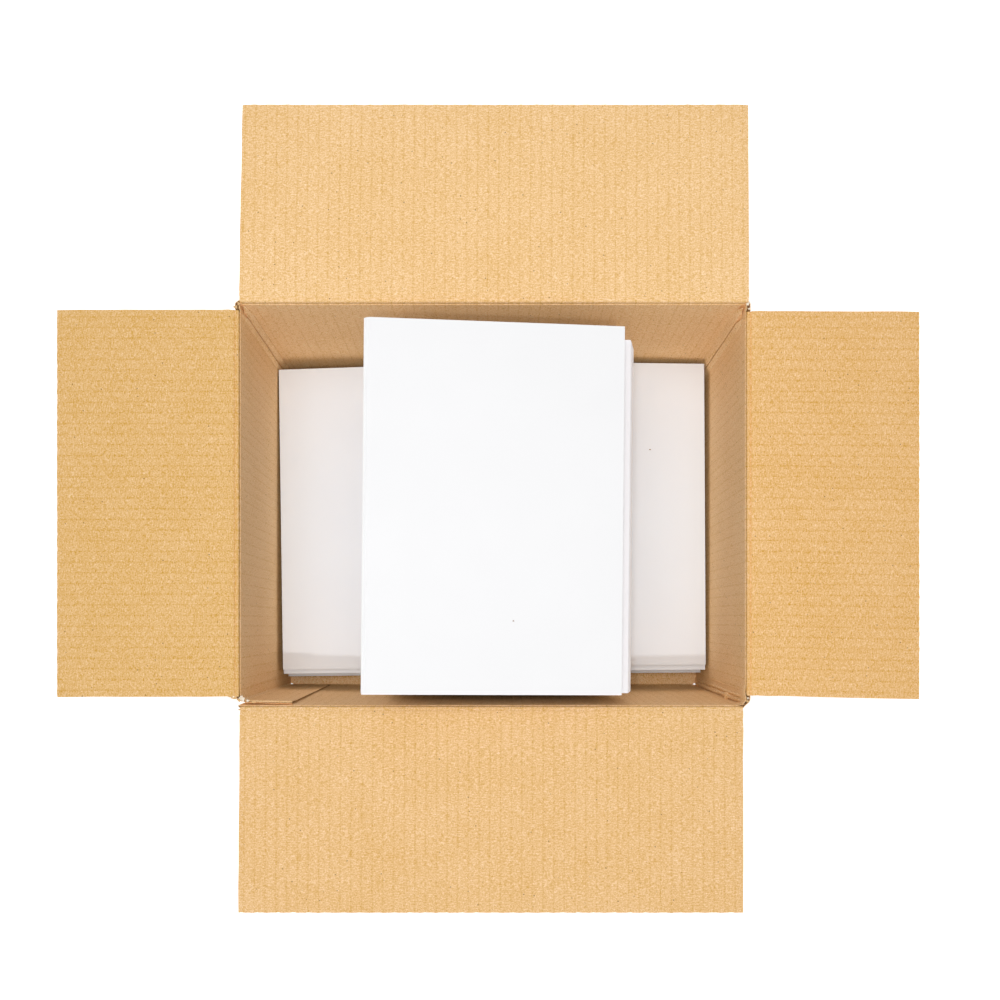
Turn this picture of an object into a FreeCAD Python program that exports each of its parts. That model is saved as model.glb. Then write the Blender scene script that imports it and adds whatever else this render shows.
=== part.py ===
import FreeCAD, Part
import os

import Sketcher

# Pack of blank folded cards in an open corrugated carton.
#
# Millimetres. X runs along the carton's length, Y from its front wall to its back wall and Z up.
# The origin lies on the surface that the carton stands on, below the middle of its rim.
# Two stacks of cards stand side by side on the floor, and a third lies across their tops.
# A folded card is thicker at its fold, so a stack rises towards the side where its folds lie.

SIZES = (
    # cards
    ("card_width", 148),           # across the fold
    ("card_length", 210),          # along the fold
    ("card_thickness", 0.8),       # folded, at the middle of its width
    ("left_height", 52.8),         # each stack from its seat to its top, at its middle
    ("right_height", 53.5),
    ("upper_height", 128.4),
    ("left_rise", 11.5),           # how much higher a stack's top is at its folds than at its open edge
    ("right_rise", 10),
    ("upper_rise", 14),
    ("left_turn", 0.8),            # degrees about the vertical
    ("right_turn", 0.3),
    ("upper_turn", -0.5),
    ("left_y", 2.4),               # middle of each stack, behind the origin
    ("right_y", 4.7),
    ("upper_y", -6.3),
    ("upper_x", 0.9),
    ("meeting_x", 0.68),           # where the two lower stacks come nearest, at their front ends
    ("meeting_gap", 0.14),
    ("stack_gap", 0.4),            # between the upper stack and the two that carry it
    # corrugated board
    ("board_thickness", 3),
    ("side_play", 1.97),           # left over beside the two lower stacks, as they lie turned
    ("front_play", 12),            # foot of the front wall past half a card's length
    ("back_play", 6),
    ("front_splay", 2.8),          # how much further out a wall's rim is than its foot
    ("back_splay", 8.8),
    ("carton_depth", 152),         # inside, floor to rim
    # top flaps
    ("flap_excess", 2.2),          # reach of the back and front flaps past half the rim's width
    ("back_flap_excess", 2),       # width of each flap past the carton's inside length
    ("front_flap_excess", -3.5),
    ("back_flap_shift", 1.2),      # how far each flap lies off the middle, along its crease
    ("front_flap_shift", -0.9),
    ("back_flap_droop", 3.3),      # degrees below level
    ("front_flap_raise", 2.8),     # degrees above level
    ("side_flap_length", 112),
    ("corner_slot", 5.3),          # from a side flap's root to the inner corner of the rim
    ("left_flap_flare", 3.5),      # how much wider a side flap is at its free edge
    ("right_flap_flare", 7),
    ("left_flap_droop", 3.6),      # degrees below level
    ("right_flap_droop", 9),
    ("crease_drop", 2),            # a wall's top edge below the rim, where a flap turns over it
    ("crease_clearance", 0.3),     # between a turning flap and the wall behind it
    # closed bottom
    ("seam_gap", 1.5),             # between the two outer bottom flaps
    ("tape_width", 60),
    ("tape_thickness", 0.2),
    ("tape_end", 50),              # how far the tape runs up each side wall
    ("glue_tab_width", 30),
    ("glue_tab_gap", 4),           # from the tab to the floor and to the wall's top edge
)

doc = FreeCAD.newDocument("CardPack")
sheet = doc.addObject("Spreadsheet::Sheet", "Sizes")
for row, (alias, value) in enumerate(SIZES, start=1):
    sheet.set(f"A{row}", alias)
    sheet.set(f"B{row}", str(value))
    sheet.setAlias(f"B{row}", alias)
doc.recompute()


def reach(size, turn):
    """Half of what a turned side of a stack takes up across itself."""
    return f"({size} / 2 * sin(Sizes.{turn} * 1 deg))"


# Places worked out from the sizes, as expressions
BOARD = "Sizes.board_thickness"
FLOOR = f"(2 * {BOARD})"                                  # two layers of bottom flaps
RIM = f"({FLOOR} + Sizes.carton_depth)"
WALL_TOP = f"({RIM} - Sizes.crease_drop)"
HALF_LENGTH = (f"(Sizes.card_width + {reach('Sizes.card_length', 'left_turn')}"
               f" + {reach('Sizes.card_length', 'right_turn')} + Sizes.side_play / 2)")
FRONT_FOOT = "(Sizes.card_length / 2 + Sizes.front_play)"
BACK_FOOT = "(Sizes.card_length / 2 + Sizes.back_play)"
FRONT_RIM = f"({FRONT_FOOT} + Sizes.front_splay)"
BACK_RIM = f"({BACK_FOOT} + Sizes.back_splay)"
BASE_MIDDLE = f"(({BACK_FOOT} - {FRONT_FOOT}) / 2)"
FLAP_LENGTH = f"(({FRONT_RIM} + {BACK_RIM}) / 2 + Sizes.flap_excess)"
# from a wall's inner face to its flap's axis: the wall, a clearance and the flap's round end
HINGE_OUT = f"({BOARD} + Sizes.crease_clearance + {BOARD} / 2)"
HINGE_HEIGHT = f"({RIM} - {BOARD} / 2)"


def new_body(name):
    """Add an empty body whose label names its file."""
    body = doc.addObject("PartDesign::Body", name)
    body.Label = name
    return body


def origin_plane(body, role):
    """Find one of the body's own origin planes."""
    return next(plane for plane in body.Origin.OriginFeatures if plane.Role == role)


def attach(sketch, body, role, offset="0"):
    """Lay a sketch on an origin plane of its body, moved along the plane's normal."""
    sketch.AttachmentSupport = (origin_plane(body, role), "")
    sketch.MapMode = "FlatFace"
    sketch.setExpression(".AttachmentOffset.Base.z", offset)


def outline(body, name, role, corners, offset="0"):
    """Draw a closed outline whose corners are pairs of expressions."""
    sketch = body.newObject("Sketcher::SketchObject", name)
    attach(sketch, body, role, offset)
    places = [[float(sheet.evalExpression(term)) for term in corner] for corner in corners]
    for number, (start_x, start_y) in enumerate(places):
        end_x, end_y = places[(number + 1) % len(places)]
        start = FreeCAD.Vector(start_x, start_y, 0)
        sketch.addGeometry(Part.LineSegment(start, FreeCAD.Vector(end_x, end_y, 0)))
    for number, corner in enumerate(corners):
        after = (number + 1) % len(corners)
        sketch.addConstraint(Sketcher.Constraint("Coincident", number, 2, after, 1))
        for kind, place, term in zip(("DistanceX", "DistanceY"), places[number], corner):
            index = sketch.addConstraint(Sketcher.Constraint(kind, -1, 1, number, 1, place))
            sketch.setExpression(f"Constraints[{index}]", term)
    return sketch


def pad(body, name, sketch, length, symmetric=False):
    """Raise a solid from a sketch."""
    feature = body.newObject("PartDesign::Pad", name)
    feature.Profile = sketch
    feature.SideType = "Symmetric" if symmetric else "One side"
    feature.setExpression("Length", length)
    body.Tip = feature
    doc.recompute()
    return feature


def pocket(body, name, sketch, depth, symmetric=False, turned=False):
    """Cut a sketch out of the body, and make sure that it does remove something."""
    before = body.Shape.Volume
    feature = body.newObject("PartDesign::Pocket", name)
    feature.Profile = sketch
    feature.SideType = "Symmetric" if symmetric else "One side"
    feature.Reversed = turned
    feature.setExpression("Length", depth)
    body.Tip = feature
    doc.recompute()
    if body.Shape.Volume >= before:
        raise RuntimeError(f"{name} cuts nothing")
    return feature


def rectangle(low_x, high_x, low_y, high_y):
    """Corners of a rectangle, counter-clockwise."""
    return [(low_x, low_y), (high_x, low_y), (high_x, high_y), (low_x, high_y)]


# Carton: one sheet, creased, slotted, folded and glued. Its front and back walls lean outwards.
carton = new_body("carton_body")

wall_profile = outline(carton, "WallProfile", "YZ_Plane", [
    (f"-({FRONT_FOOT} + {BOARD})", "0"),
    (f"{BACK_FOOT} + {BOARD}", "0"),
    (f"{BACK_RIM} + {BOARD}", WALL_TOP),
    (f"-({FRONT_RIM} + {BOARD})", WALL_TOP),
])
pad(carton, "Walls", wall_profile, f"2 * ({HALF_LENGTH} + {BOARD})", symmetric=True)

inside_profile = outline(carton, "InsideProfile", "YZ_Plane", [
    (f"-{FRONT_FOOT}", FLOOR),
    (BACK_FOOT, FLOOR),
    (BACK_RIM, WALL_TOP),
    (f"-{FRONT_RIM}", WALL_TOP),
])
pocket(carton, "Inside", inside_profile, f"2 * {HALF_LENGTH}", symmetric=True)

# The inner bottom flaps stop short of each other, and the outer two meet at a taped seam.
bay_half = f"({HALF_LENGTH} - {FLAP_LENGTH})"
bay = outline(carton, "BottomBay", "XY_Plane",
              rectangle(f"-{bay_half}", bay_half, f"-{FRONT_FOOT}", BACK_FOOT), offset=FLOOR)
pocket(carton, "BottomBayCut", bay, BOARD)

seam = outline(carton, "Seam", "XY_Plane",
               rectangle(f"-{HALF_LENGTH}", HALF_LENGTH,
                         f"{BASE_MIDDLE} - Sizes.seam_gap / 2", f"{BASE_MIDDLE} + Sizes.seam_gap / 2"),
               offset=BOARD)
pocket(carton, "SeamCut", seam, BOARD)

wall_face = f"({HALF_LENGTH} + {BOARD})"
tape_bed = outline(carton, "TapeBed", "XY_Plane",
                   rectangle(f"-{wall_face}", wall_face,
                             f"{BASE_MIDDLE} - Sizes.tape_width / 2",
                             f"{BASE_MIDDLE} + Sizes.tape_width / 2"))
pocket(carton, "TapeBedCut", tape_bed, "Sizes.tape_thickness", turned=True)

# The sheet's two ends are joined by a tab glued inside the front wall, at its left end.
tab_low = f"({FLOOR} + Sizes.glue_tab_gap)"
tab_high = f"({WALL_TOP} - Sizes.glue_tab_gap)"


def front_face(height):
    """Where the front wall's inner face lies at a height."""
    return f"-({FRONT_FOOT} + Sizes.front_splay * ({height} - {FLOOR}) / ({WALL_TOP} - {FLOOR}))"


glue_tab = outline(carton, "GlueTab", "YZ_Plane", [
    (f"{front_face(tab_low)} - {BOARD} / 2", tab_low),
    (f"{front_face(tab_low)} + {BOARD}", tab_low),
    (f"{front_face(tab_high)} + {BOARD}", tab_high),
    (f"{front_face(tab_high)} - {BOARD} / 2", tab_high),
], offset=f"-({HALF_LENGTH} + {BOARD} / 2)")
pad(carton, "GlueTabPad", glue_tab, f"Sizes.glue_tab_width + {BOARD} / 2")


def side_flap(side, flare, droop):
    """Loft a side flap outwards from its crease to its drooping free edge."""
    sign = -1 if side == "left" else 1
    outwards = f"(Sizes.side_flap_length * cos({droop} * 1 deg))"
    drop = f"(Sizes.side_flap_length * sin({droop} * 1 deg))"
    root_half = f"(({FRONT_RIM} + {BACK_RIM}) / 2 - Sizes.corner_slot)"
    tip_half = f"({root_half} + {flare} / 2)"
    root = outline(carton, f"{side.title()}FlapRoot", "YZ_Plane",
                   rectangle(f"-{root_half}", root_half, f"{RIM} - {BOARD}", RIM),
                   offset=f"{sign} * {HALF_LENGTH}")
    tip = outline(carton, f"{side.title()}FlapTip", "YZ_Plane",
                  rectangle(f"-{tip_half}", tip_half, f"{RIM} - {BOARD} - {drop}", f"{RIM} - {drop}"),
                  offset=f"{sign} * ({HALF_LENGTH} + {outwards})")
    doc.recompute()
    flap = carton.newObject("PartDesign::AdditiveLoft", f"{side.title()}Flap")
    flap.Profile = root
    flap.Sections = [tip]
    flap.Ruled = True
    carton.Tip = flap
    doc.recompute()


side_flap("left", "Sizes.left_flap_flare", "Sizes.left_flap_droop")
side_flap("right", "Sizes.right_flap_flare", "Sizes.right_flap_droop")


def turning_flap(name, direction, rim, width, shift, angle):
    """Make a flap that turns about the round end along its crease.

    The flap's body has its origin on the crease's axis, so its placement holds the open angle.
    """
    body = new_body(name)
    sketch = body.newObject("Sketcher::SketchObject", f"{name}_profile")
    attach(sketch, body, "YZ_Plane")
    half = float(sheet.evalExpression(f"{BOARD} / 2"))
    edge_term = f"{direction} * ({FLAP_LENGTH} - {HINGE_OUT})"
    edge = float(sheet.evalExpression(edge_term))
    low_start = FreeCAD.Vector(0, -half, 0)
    low_end = FreeCAD.Vector(edge, -half, 0)
    high_end = FreeCAD.Vector(edge, half, 0)
    high_start = FreeCAD.Vector(0, half, 0)
    round_middle = FreeCAD.Vector(-half * direction, 0, 0)
    sketch.addGeometry(Part.LineSegment(low_start, low_end))
    sketch.addGeometry(Part.LineSegment(low_end, high_end))
    sketch.addGeometry(Part.LineSegment(high_end, high_start))
    sketch.addGeometry(Part.Arc(high_start, round_middle, low_start))
    # an arc runs counter-clockwise, so which of its ends meets the lower line depends on the side
    low_end_of_arc, high_end_of_arc = (2, 1) if direction > 0 else (1, 2)
    sketch.addConstraint(Sketcher.Constraint("Coincident", 0, 2, 1, 1))
    sketch.addConstraint(Sketcher.Constraint("Coincident", 1, 2, 2, 1))
    sketch.addConstraint(Sketcher.Constraint("Tangent", 0, 1, 3, low_end_of_arc))
    sketch.addConstraint(Sketcher.Constraint("Tangent", 2, 2, 3, high_end_of_arc))
    sketch.addConstraint(Sketcher.Constraint("Coincident", 3, 3, -1, 1))
    sketch.addConstraint(Sketcher.Constraint("Horizontal", 0))
    sketch.addConstraint(Sketcher.Constraint("Horizontal", 2))
    sketch.addConstraint(Sketcher.Constraint("Vertical", 1))
    radius = sketch.addConstraint(Sketcher.Constraint("Radius", 3, half))
    sketch.setExpression(f"Constraints[{radius}]", f"{BOARD} / 2")
    length = sketch.addConstraint(Sketcher.Constraint("DistanceX", -1, 1, 0, 2, edge))
    sketch.setExpression(f"Constraints[{length}]", edge_term)
    pad(body, f"{name}_board", sketch, width, symmetric=True)
    body.Placement = FreeCAD.Placement(FreeCAD.Vector(), FreeCAD.Rotation(FreeCAD.Vector(1, 0, 0), 1))
    body.setExpression(".Placement.Base.x", shift)
    body.setExpression(".Placement.Base.y", f"{direction} * ({rim} + {HINGE_OUT})")
    body.setExpression(".Placement.Base.z", HINGE_HEIGHT)
    body.setExpression(".Placement.Rotation.Angle", angle)
    return body


back_flap = turning_flap("back_flap", 1, BACK_RIM, f"2 * {HALF_LENGTH} + Sizes.back_flap_excess",
                         "Sizes.back_flap_shift", "-Sizes.back_flap_droop")
front_flap = turning_flap("front_flap", -1, FRONT_RIM, f"2 * {HALF_LENGTH} + Sizes.front_flap_excess",
                          "Sizes.front_flap_shift", "-Sizes.front_flap_raise")

# Paper tape: along the seam below the floor, and a little way up both side walls
tape = new_body("bottom_tape")
tape_face = f"({wall_face} + Sizes.tape_thickness)"
tape_profile = outline(tape, "TapeProfile", "XZ_Plane", [
    (f"-{tape_face}", "0"),
    (tape_face, "0"),
    (tape_face, "Sizes.tape_end"),
    (wall_face, "Sizes.tape_end"),
    (wall_face, "Sizes.tape_thickness"),
    (f"-{wall_face}", "Sizes.tape_thickness"),
    (f"-{wall_face}", "Sizes.tape_end"),
    (f"-{tape_face}", "Sizes.tape_end"),
])
pad(tape, "TapeStrip", tape_profile, "Sizes.tape_width", symmetric=True)
tape.setExpression(".Placement.Base.y", BASE_MIDDLE)


def sloping(middle, rise):
    """Height of a sloping plane, as a function of the distance from the stack's middle."""
    return lambda across: f"({middle} + ({rise}) * ({across}) / Sizes.card_width)"


left_top = sloping(f"({FLOOR} + Sizes.left_height)", "Sizes.left_rise")
right_top = sloping(f"({FLOOR} + Sizes.right_height)", "-Sizes.right_rise")

# The two lower stacks come nearest to each other at their front ends, beside the seam between them.
HALF_WIDTH = "(Sizes.card_width / 2)"
LEFT_X = (f"(Sizes.meeting_x - Sizes.meeting_gap / 2 - {HALF_WIDTH} * cos(Sizes.left_turn * 1 deg)"
          f" - {reach('Sizes.card_length', 'left_turn')})")
RIGHT_X = (f"(Sizes.meeting_x + Sizes.meeting_gap / 2 + {HALF_WIDTH} * cos(Sizes.right_turn * 1 deg)"
           f" - {reach('Sizes.card_length', 'right_turn')})")
SEAM_X = f"(({LEFT_X} + {RIGHT_X}) / 2)"

# The upper stack rests with its left half on the left stack and its right half on the right one.
SEAT_LEFT = f"({left_top(f'Sizes.upper_x - {HALF_WIDTH} - {LEFT_X}')} + Sizes.stack_gap)"
SEAT_RIGHT = f"({right_top(f'Sizes.upper_x + {HALF_WIDTH} - {RIGHT_X}')} + Sizes.stack_gap)"
SEAT_MIDDLE = f"(({SEAT_LEFT} + {SEAT_RIGHT}) / 2)"


def past_seam(turn):
    """How far a lower stack's inner edge swings past the seam, as the upper stack lies."""
    return f"(Sizes.card_length / 2 * abs(sin((Sizes.{turn} - Sizes.upper_turn) * 1 deg)))"


def seated(across, *lower_stacks):
    """Corner of the upper stack's underside, a gap above the highest of the lower stacks there."""
    tops = [top(f"Sizes.upper_x + {across} - {middle_x}") for top, middle_x in lower_stacks]
    return across, f"(max({'; '.join(tops)}) + Sizes.stack_gap)"


LEFT_SEAT = (left_top, LEFT_X)
RIGHT_SEAT = (right_top, RIGHT_X)
SEAM_ACROSS = f"({SEAM_X} - Sizes.upper_x)"
CROWN = [
    seated(f"({SEAM_ACROSS} - {past_seam('right_turn')})", LEFT_SEAT, RIGHT_SEAT),
    seated(f"({SEAM_ACROSS} + {past_seam('left_turn')})", LEFT_SEAT, RIGHT_SEAT),
]

# Each bundle: its name, the share of the stack's height at its upper face, how far its lower and its
# upper face are moved across the stack, and how far the whole bundle is moved along the folds.
# A bundle starts where the one below ends, and the last but one ends below the loose top card.
BELOW_TOP_CARD = "below top card"
STACKS = (
    {
        "side": "left", "middle_x": LEFT_X,
        "low": sloping(FLOOR, "0"), "low_rise": "0",
        "top": left_top, "top_rise": "Sizes.left_rise",
        "bundles": (
            ("bottom_bundle", 0.6, -0.2, -0.1, -5.4),
            ("middle_bundle", 0.93, -0.1, -0.1, -2.7),
            ("top_bundle", BELOW_TOP_CARD, 0, 0, 0),
            ("top_card", 1, 0, 0, 0.3),
        ),
    },
    {
        "side": "right", "middle_x": RIGHT_X,
        "low": sloping(FLOOR, "0"), "low_rise": "0",
        "top": right_top, "top_rise": "-Sizes.right_rise",
        "bundles": (
            ("bottom_bundle", 0.6, 0.1, 0.2, -6.2),
            ("middle_bundle", 0.93, 0.3, 0.2, -3.4),
            ("top_bundle", BELOW_TOP_CARD, 0, 0, 0),
            ("top_card", 1, 0, 0, 0.4),
        ),
    },
    {
        "side": "upper", "middle_x": "Sizes.upper_x",
        "low": sloping(SEAT_MIDDLE, f"({SEAT_RIGHT} - {SEAT_LEFT})"),
        "low_rise": f"({SEAT_RIGHT} - {SEAT_LEFT})",
        "top": sloping(f"({SEAT_MIDDLE} + Sizes.upper_height)", "-Sizes.upper_rise"),
        "top_rise": "-Sizes.upper_rise",
        "bundles": (
            ("bottom_bundle", 0.24, 2, 3.5, 0.8),
            ("lower_bundle", 0.44, 5, 7, -0.6),
            ("middle_bundle", 0.65, 9, 10.8, 0.4),
            ("stepped_bundle", 0.815, 10.8, 6.5, -0.4),
            ("face_bundle", BELOW_TOP_CARD, 0.6, 0.2, 0),
            ("top_card", 1, 0, 0, 0.2),
        ),
    },
)


def card_bundle(stack, name, shares, moves, along):
    """Make one bundle of cards as a wedge that follows the slope of its stack."""
    side = stack["side"]

    def corner(share, move, end):
        """Place a corner at the left (-1) or right (1) end of a face at a share of the height."""
        slope = (f"(({stack['low_rise']} * (1 - {share}) + {stack['top_rise']} * {share})"
                 " / Sizes.card_width)")
        across = f"({end} * {HALF_WIDTH} / sqrt(1 + {slope} ^ 2) + {move})"
        low = stack["low"](across)
        return across, f"{low} + {share} * ({stack['top'](across)} - {low})"

    underside = [corner(shares[0], moves[0], end) for end in (-1, 1)]
    if side == "upper" and name == "bottom_bundle":
        (left_end, _), (right_end, _) = underside
        underside = [seated(left_end, LEFT_SEAT), *CROWN, seated(right_end, RIGHT_SEAT)]
    corners = underside + [corner(shares[1], moves[1], end) for end in (1, -1)]
    body = new_body(f"{side}_{name}")
    profile = outline(body, f"{side}_{name}_profile", "XZ_Plane", corners)
    pad(body, f"{side}_{name}_cards", profile, "Sizes.card_length", symmetric=True)
    turn = f"(Sizes.{side}_turn * 1 deg)"
    body.setExpression(".Placement.Base.x", f"{stack['middle_x']} - {along} * sin({turn})")
    body.setExpression(".Placement.Base.y", f"Sizes.{side}_y + {along} * cos({turn})")
    body.setExpression(".Placement.Rotation.Angle", f"Sizes.{side}_turn")
    return body


cards = []
for stack in STACKS:
    low_share = "0"
    for name, high_share, move_low, move_high, along in stack["bundles"]:
        if high_share == BELOW_TOP_CARD:
            high_share = f"(1 - Sizes.card_thickness / Sizes.{stack['side']}_height)"
        shares = (low_share, high_share)
        cards.append(card_bundle(stack, name, shares, (move_low, move_high), along))
        low_share = high_share

doc.recompute()
for item in doc.Objects:
    if "Invalid" in item.State or "Error" in item.State:
        raise RuntimeError(f"{item.Name} failed: {item.State}")

pieces = [carton, back_flap, front_flap, tape, *cards]
for piece in pieces:
    if piece.Shape.isNull() or not piece.Shape.isValid() or len(piece.Shape.Solids) != 1:
        raise RuntimeError(f"{piece.Label} has no sound solid")

os.makedirs("parts", exist_ok=True)
for piece in pieces:
    piece.Shape.exportStep(f"parts/{piece.Label}.step")
    box = piece.Shape.BoundBox
    print(f"{piece.Label:22s} {piece.Shape.Volume / 1000:9.2f} cm3"
          f"  x {box.XMin:7.1f} {box.XMax:7.1f}  y {box.YMin:7.1f} {box.YMax:7.1f}"
          f"  z {box.ZMin:6.1f} {box.ZMax:6.1f}")
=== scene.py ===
"""A pack of blank folded cards in an open corrugated carton.

Three stacks of plain white cards lie in a brown kraft carton whose top flaps stand open. The script
makes the board with its fluting, every card and the studio in metres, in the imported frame.
"""

import logging
import math
from collections.abc import Callable
from dataclasses import dataclass
from enum import Enum

import bmesh
import bpy
import numpy as np
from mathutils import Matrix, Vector


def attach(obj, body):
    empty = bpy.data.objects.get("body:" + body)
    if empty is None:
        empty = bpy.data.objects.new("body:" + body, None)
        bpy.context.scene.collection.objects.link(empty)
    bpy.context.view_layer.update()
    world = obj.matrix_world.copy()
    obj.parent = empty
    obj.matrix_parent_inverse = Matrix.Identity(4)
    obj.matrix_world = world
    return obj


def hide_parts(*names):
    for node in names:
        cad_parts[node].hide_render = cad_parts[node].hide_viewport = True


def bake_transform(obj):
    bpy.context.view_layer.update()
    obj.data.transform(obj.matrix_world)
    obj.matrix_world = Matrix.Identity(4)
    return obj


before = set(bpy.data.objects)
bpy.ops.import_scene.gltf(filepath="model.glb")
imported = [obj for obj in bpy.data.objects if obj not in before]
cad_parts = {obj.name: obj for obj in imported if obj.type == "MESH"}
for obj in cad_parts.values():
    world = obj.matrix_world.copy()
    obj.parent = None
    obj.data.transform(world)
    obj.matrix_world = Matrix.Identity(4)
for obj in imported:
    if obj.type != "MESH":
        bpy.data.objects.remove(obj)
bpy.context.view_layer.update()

MM = 0.001
LOG = logging.getLogger("card_pack")
MATHS, NOISE, MAPPING = "ShaderNodeMath", "ShaderNodeTexNoise", "ShaderNodeMapping"

Mesh, Piece, Tree = bpy.types.Mesh, bpy.types.Object, bpy.types.NodeTree
Finish, Socket = bpy.types.Material, bpy.types.NodeSocket
# place across the sheet, place along the flutes and height through the board -> place, all in mm
Placer = Callable[[np.ndarray, np.ndarray, np.ndarray], np.ndarray]


class Side(Enum):
    """Sides of the carton, as the four panels of its sheet are called."""

    FRONT = "front"
    RIGHT = "right"
    BACK = "back"
    LEFT = "left"


class Fold(Enum):
    """Which long edge of a card is its fold, as the stack is seen from the front."""

    LEFT = -1
    RIGHT = 1


def linear(shade: str) -> tuple[float, ...]:
    """Turn an sRGB hex value into a linear colour.

    Args:
        shade: Colour as "#rrggbb".

    Returns:
        Linear red, green, blue and alpha.
    """
    parts = [int(shade[start:start + 2], 16) / 255 for start in (1, 3, 5)]
    return *(p / 12.92 if p <= 0.04045 else ((p + 0.055) / 1.055) ** 2.4 for p in parts), 1.0


def feed(node: bpy.types.Node, inputs: dict) -> None:
    """Fill or link a node's inputs.

    Args:
        node: The node.
        inputs: Input name or number to a plain value, the socket that feeds it, or a list of such.
    """
    for key, given in inputs.items():
        for value in given if isinstance(given, list) else [given]:
            if isinstance(value, Socket):
                node.id_data.links.new(value, node.inputs[key])
            else:
                node.inputs[key].default_value = value


def add_node(tree: Tree, kind: str, inputs: dict | tuple = (), out: int | str = 0,
             **settings: object) -> Socket:
    """Add a node, make its settings, and fill or link its inputs.

    Args:
        tree: Tree that takes the node.
        kind: Blender's name for the kind of node.
        inputs: Its inputs in order, or input name or number to each, as for feed.
        out: Name or number of the output that is wanted.
        **settings: The node's own properties, set before its inputs.

    Returns:
        The wanted output.
    """
    node = tree.nodes.new(kind)
    for name, value in settings.items():
        setattr(node, name, value)
    feed(node, inputs if isinstance(inputs, dict) else dict(enumerate(inputs)))
    return node.outputs[out]


def begin_tree(name: str, **named: tuple[str, ...]) -> tuple[Tree, bpy.types.NodeOutputs]:
    """Start a Geometry Nodes tree that makes a mesh from named inputs.

    Args:
        name: Name of the tree.
        **named: Kind of input to the names of the inputs of that kind.

    Returns:
        The tree, and the sockets that give its inputs, by name.
    """
    tree = bpy.data.node_groups.new(name, "GeometryNodeTree")
    for kind, titles in named.items():
        for title in titles:
            tree.interface.new_socket(name=title, in_out="INPUT", socket_type=f"NodeSocket{kind}")
    tree.interface.new_socket(name="Mesh", in_out="OUTPUT", socket_type="NodeSocketGeometry")
    return tree, tree.nodes.new("NodeGroupInput").outputs


def run_tree(tree: Tree, values: dict[str, object]) -> Mesh:
    """Run a Geometry Nodes tree once, and keep what it makes as a plain mesh.

    Args:
        tree: The tree.
        values: Name of each input to its value.

    Returns:
        The mesh.
    """
    host = add_object("stock", bpy.data.meshes.new("stock"))
    modifier = host.modifiers.new(tree.name, "NODES")
    modifier.node_group = tree
    for item in tree.interface.items_tree:
        if item.in_out == "INPUT":
            modifier[item.identifier] = values[item.name]
    graph = bpy.context.evaluated_depsgraph_get()
    mesh = bpy.data.meshes.new_from_object(host.evaluated_get(graph))
    bpy.data.objects.remove(host)
    return mesh


def wander(place: np.ndarray, span: float, seed: float) -> np.ndarray:
    """Make a smooth, fixed up-and-down line for edges and faces that aren't quite straight.

    Args:
        place: Places along the line, in mm.
        span: Length of a typical swing, in mm.
        seed: Any number, which shifts the line.

    Returns:
        Values between about -1 and 1.
    """
    turn = 2 * math.pi * place / span
    return (0.5 * np.sin(turn + seed) + 0.3 * np.sin(2.3 * turn + 1.7 * seed + 1)
            + 0.2 * np.sin(4.1 * turn + 2.9 * seed + 2))


def bump(place: np.ndarray, middle: float, width: float) -> np.ndarray:
    """Give a smooth bump of height 1.

    Args:
        place: Places along the line, in mm.
        middle: Where the bump is highest.
        width: Distance from the middle at which the bump is down to about a third.

    Returns:
        Height of the bump at each place.
    """
    return np.exp(-((place - middle) / width) ** 2)


def points_of(mesh: Mesh) -> np.ndarray:
    """Read a mesh's points.

    Args:
        mesh: The mesh, in m.

    Returns:
        Its points in mm, one row each.
    """
    flat = np.empty(len(mesh.vertices) * 3)
    mesh.vertices.foreach_get("co", flat)
    return flat.reshape(-1, 3) / MM


def move_points(mesh: Mesh, places: np.ndarray) -> None:
    """Put a mesh's points at new places in mm, one row each."""
    mesh.vertices.foreach_set("co", (places * MM).astype(np.float32).ravel())
    mesh.update()


def add_object(name: str, data: Mesh | bpy.types.Light | bpy.types.Camera) -> Piece:
    """Put a mesh, a light or a camera in the scene as an object at the origin.

    Args:
        name: Name of the object and of its data.
        data: The mesh, already in place, or the light or camera.

    Returns:
        The new object.
    """
    data.name = name
    added = bpy.data.objects.new(name, data)
    bpy.context.scene.collection.objects.link(added)
    return added


def finish_piece(name: str, source: Mesh | bmesh.types.BMesh, degrees: float,
                 *finishes: Finish) -> Piece:
    """Make a piece of closed shells that face outwards, smooth between its sharp edges.

    Args:
        name: Name of the piece.
        source: Its shells, already in place. A bmesh is used up.
        degrees: Angle from which an edge stays sharp.
        *finishes: Materials that its mesh doesn't have yet.

    Returns:
        The piece.
    """
    mesh, shells = source, source
    if isinstance(source, Mesh):
        shells = bmesh.new()
        shells.from_mesh(mesh)
    else:
        mesh = bpy.data.meshes.new(name)
    bmesh.ops.recalc_face_normals(shells, faces=shells.faces)
    shells.to_mesh(mesh)
    shells.free()
    mesh.shade_smooth()
    mesh.set_sharp_from_angle(angle=math.radians(degrees))
    for finish in finishes:
        mesh.materials.append(finish)
    return add_object(name, mesh)


def report(piece: Piece) -> None:
    """Log a finished piece with its number of triangles."""
    piece.data.calc_loop_triangles()
    LOG.info("%s: %d triangles", piece.name, len(piece.data.loop_triangles))


# ---------------------------------------------------------------------------------------- finishes


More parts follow.
